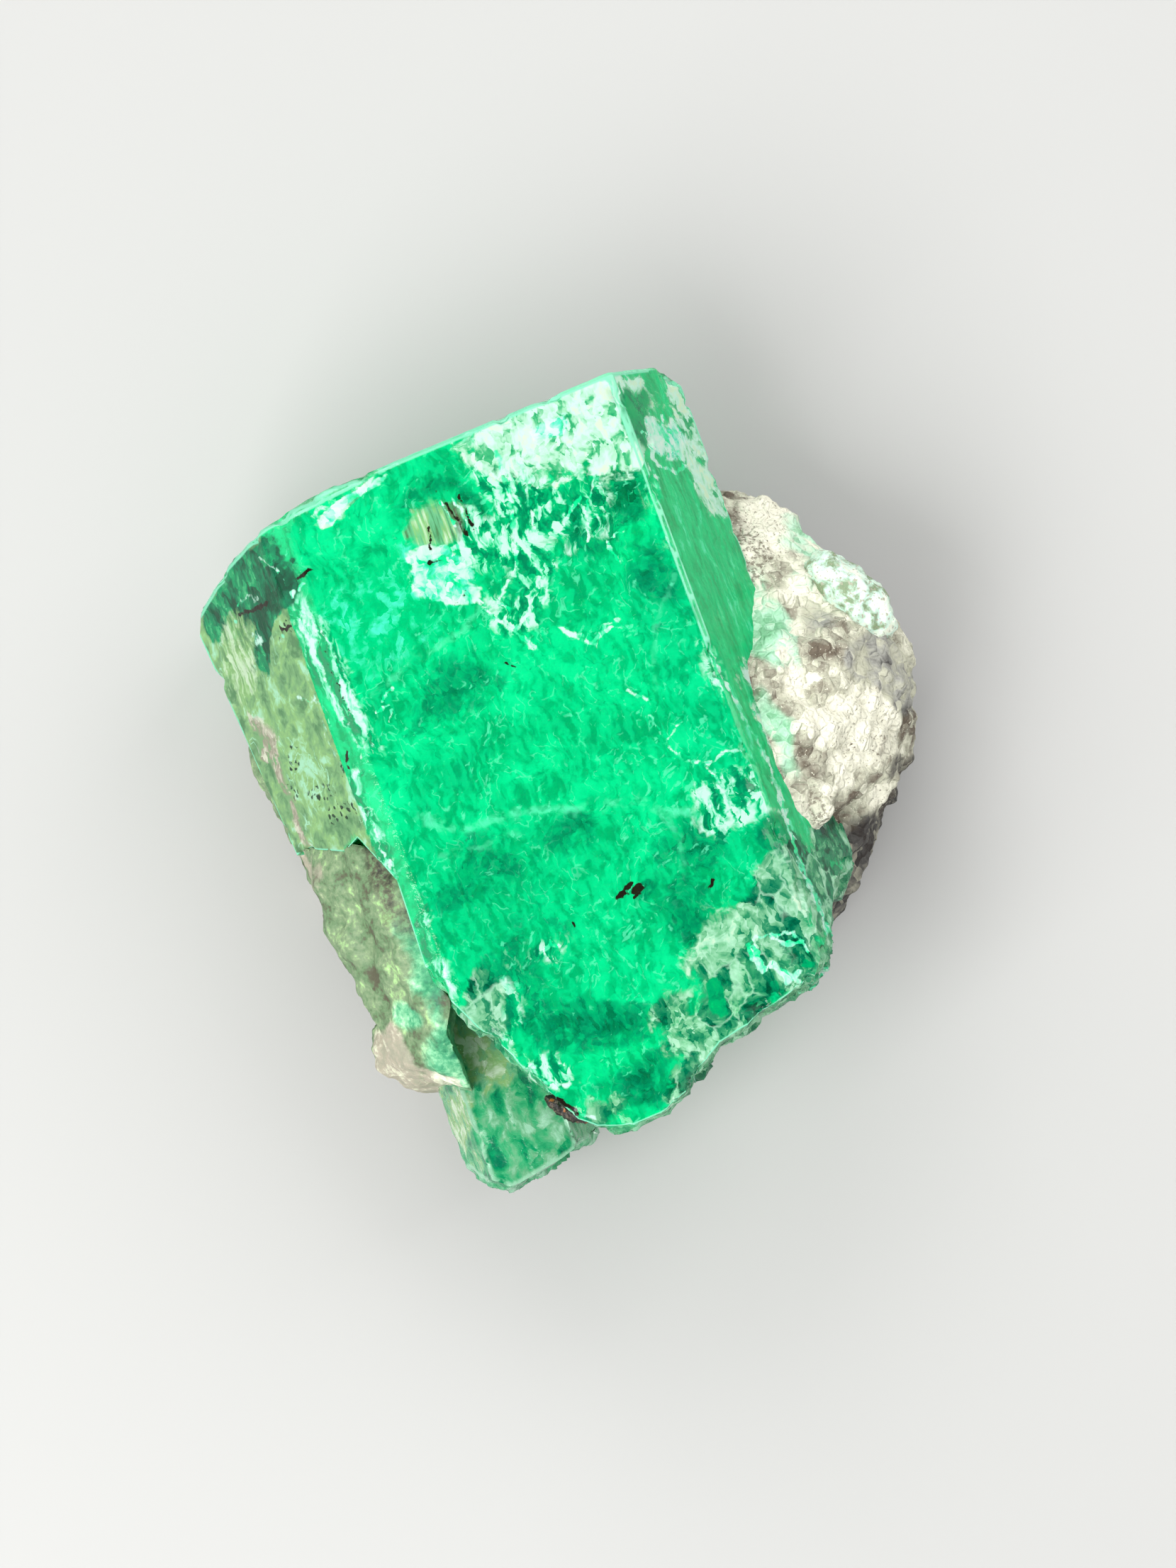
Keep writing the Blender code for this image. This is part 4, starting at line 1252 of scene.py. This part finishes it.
def shale_material():
    """Black shale with rusty flecks."""
    made, tree, shader, place = new_material("black_shale")
    fine = cloud(tree, place, 0.09, 4.0, 0.6)
    flecks = cloud(tree, place, 0.16, 2.0, 0.5)
    colour = ramp(tree, fine, ((0.4, "black"), (0.55, "umber"), (0.68, "brown")))
    colour = blend(tree, span(tree, flecks, 0.6, 0.66), colour, paint("rust"))
    rough = plus(tree, times(tree, fine, 0.5), 0.25)
    set_shader(tree, shader, colour, rough, fine, 0.03)
    return made


# Stage

def pale_floor():
    """A plain pale floor just under the object."""
    bm = bmesh.new()
    bmesh.ops.create_grid(bm, x_segments=1, y_segments=1, size=400.0)
    bmesh.ops.translate(bm, verts=bm.verts, vec=(0, 0, -0.02))
    bmesh.ops.scale(bm, vec=(MM,) * 3, verts=bm.verts)
    mesh = bpy.data.meshes.new("floor")
    bm.to_mesh(mesh)
    bm.free()
    made = bpy.data.materials.new("pale_floor")
    made.use_nodes = True
    shader = made.node_tree.nodes["Principled BSDF"]
    shader.inputs["Base Color"].default_value = paint("floor")
    shader.inputs["Roughness"].default_value = 0.8
    mesh.materials.append(made)
    floor = bpy.data.objects.new("floor", mesh)
    bpy.context.scene.collection.objects.link(floor)


def softbox(name, azimuth, elevation, distance, size, power):
    """A soft square light that looks at the object."""
    data = bpy.data.lights.new(name, "AREA")
    data.shape = "SQUARE"
    data.size = size * MM
    data.energy = power
    light = bpy.data.objects.new(name, data)
    a, e = math.radians(azimuth), math.radians(elevation)
    way = Vector((math.sin(a) * math.cos(e), -math.cos(a) * math.cos(e), math.sin(e)))
    light.location = (Vector((0, 0, 4)) + way * distance) * MM
    light.rotation_euler = way.to_track_quat("Z", "Y").to_euler()
    bpy.context.scene.collection.objects.link(light)


def studio():
    """Soft light from all round and softboxes at the sides."""
    world = bpy.data.worlds.new("studio")
    world.use_nodes = True
    tree = world.node_tree
    sky = tree.nodes["Background"]
    way = put(tree, "ShaderNodeTexCoord").outputs["Generated"]
    height = put(tree, "ShaderNodeSeparateXYZ", {"Vector": way}).outputs["Z"]
    glow = times(tree, span(tree, height, 1.0, 0.75), plus(tree, 0.6, span(tree, height, 0.0, 0.5)))
    tree.links.new(times(tree, glow, 0.75), sky.inputs["Color"])
    sky.inputs["Strength"].default_value = 1.0
    bpy.context.scene.world = world
    softbox("key", -60, 50, 120, 80, 0.17)
    softbox("fill", 110, 45, 120, 80, 0.06)
    softbox("back", 180, 40, 130, 80, 0.07)
    cycles = bpy.context.scene.cycles
    cycles.max_bounces = 5
    cycles.diffuse_bounces = 2
    cycles.glossy_bounces = 2
    cycles.transmission_bounces = 3
    bpy.context.scene.view_settings.view_transform = "Standard"


def camera():
    """The photograph's view, from nearly straight above."""
    data = bpy.data.cameras.new("camera")
    data.lens = LENS
    data.sensor_width = SENSOR
    data.clip_start = 0.005
    data.clip_end = 5.0
    seen = bpy.data.objects.new("camera", data)
    bpy.context.scene.collection.objects.link(seen)
    distance = VIEW_HEIGHT * LENS / SENSOR
    forward = Vector((0, math.cos(ELEVATION), -math.sin(ELEVATION)))
    up = Vector((0, math.sin(ELEVATION), math.cos(ELEVATION)))
    across = Vector((1, 0, 0))
    right = across * math.cos(TURN) - up * math.sin(TURN)
    top = across * math.sin(TURN) + up * math.cos(TURN)
    turn = Matrix((right, top, -forward)).transposed().to_4x4()
    seen.matrix_world = Matrix.Translation((TARGET - forward * distance) * MM) @ turn
    bpy.context.scene.camera = seen


def main():
    """Makes the pieces and the studio."""
    rock_bed = crystal_tree("emerald_crystal", "lower_crystal", "beryl_grain")
    emerald_piece()
    lower_piece()
    right = (cream_rock_material(), rock_bed, (0.1, 0.22, 0.03), 0.35, RIGHT_AREAS)
    rock_piece("cream_rock", "matrix_right", "calcite_rock", *right)
    left = (crust_material(), rock_bed, (0.12, 0.09, 0.02), 0.3, LEFT_AREAS)
    rock_piece("green_crust", "matrix_left", "crust_rock", *left)
    grain_piece()
    sliver_piece()
    pale_floor()
    studio()
    camera()


main()
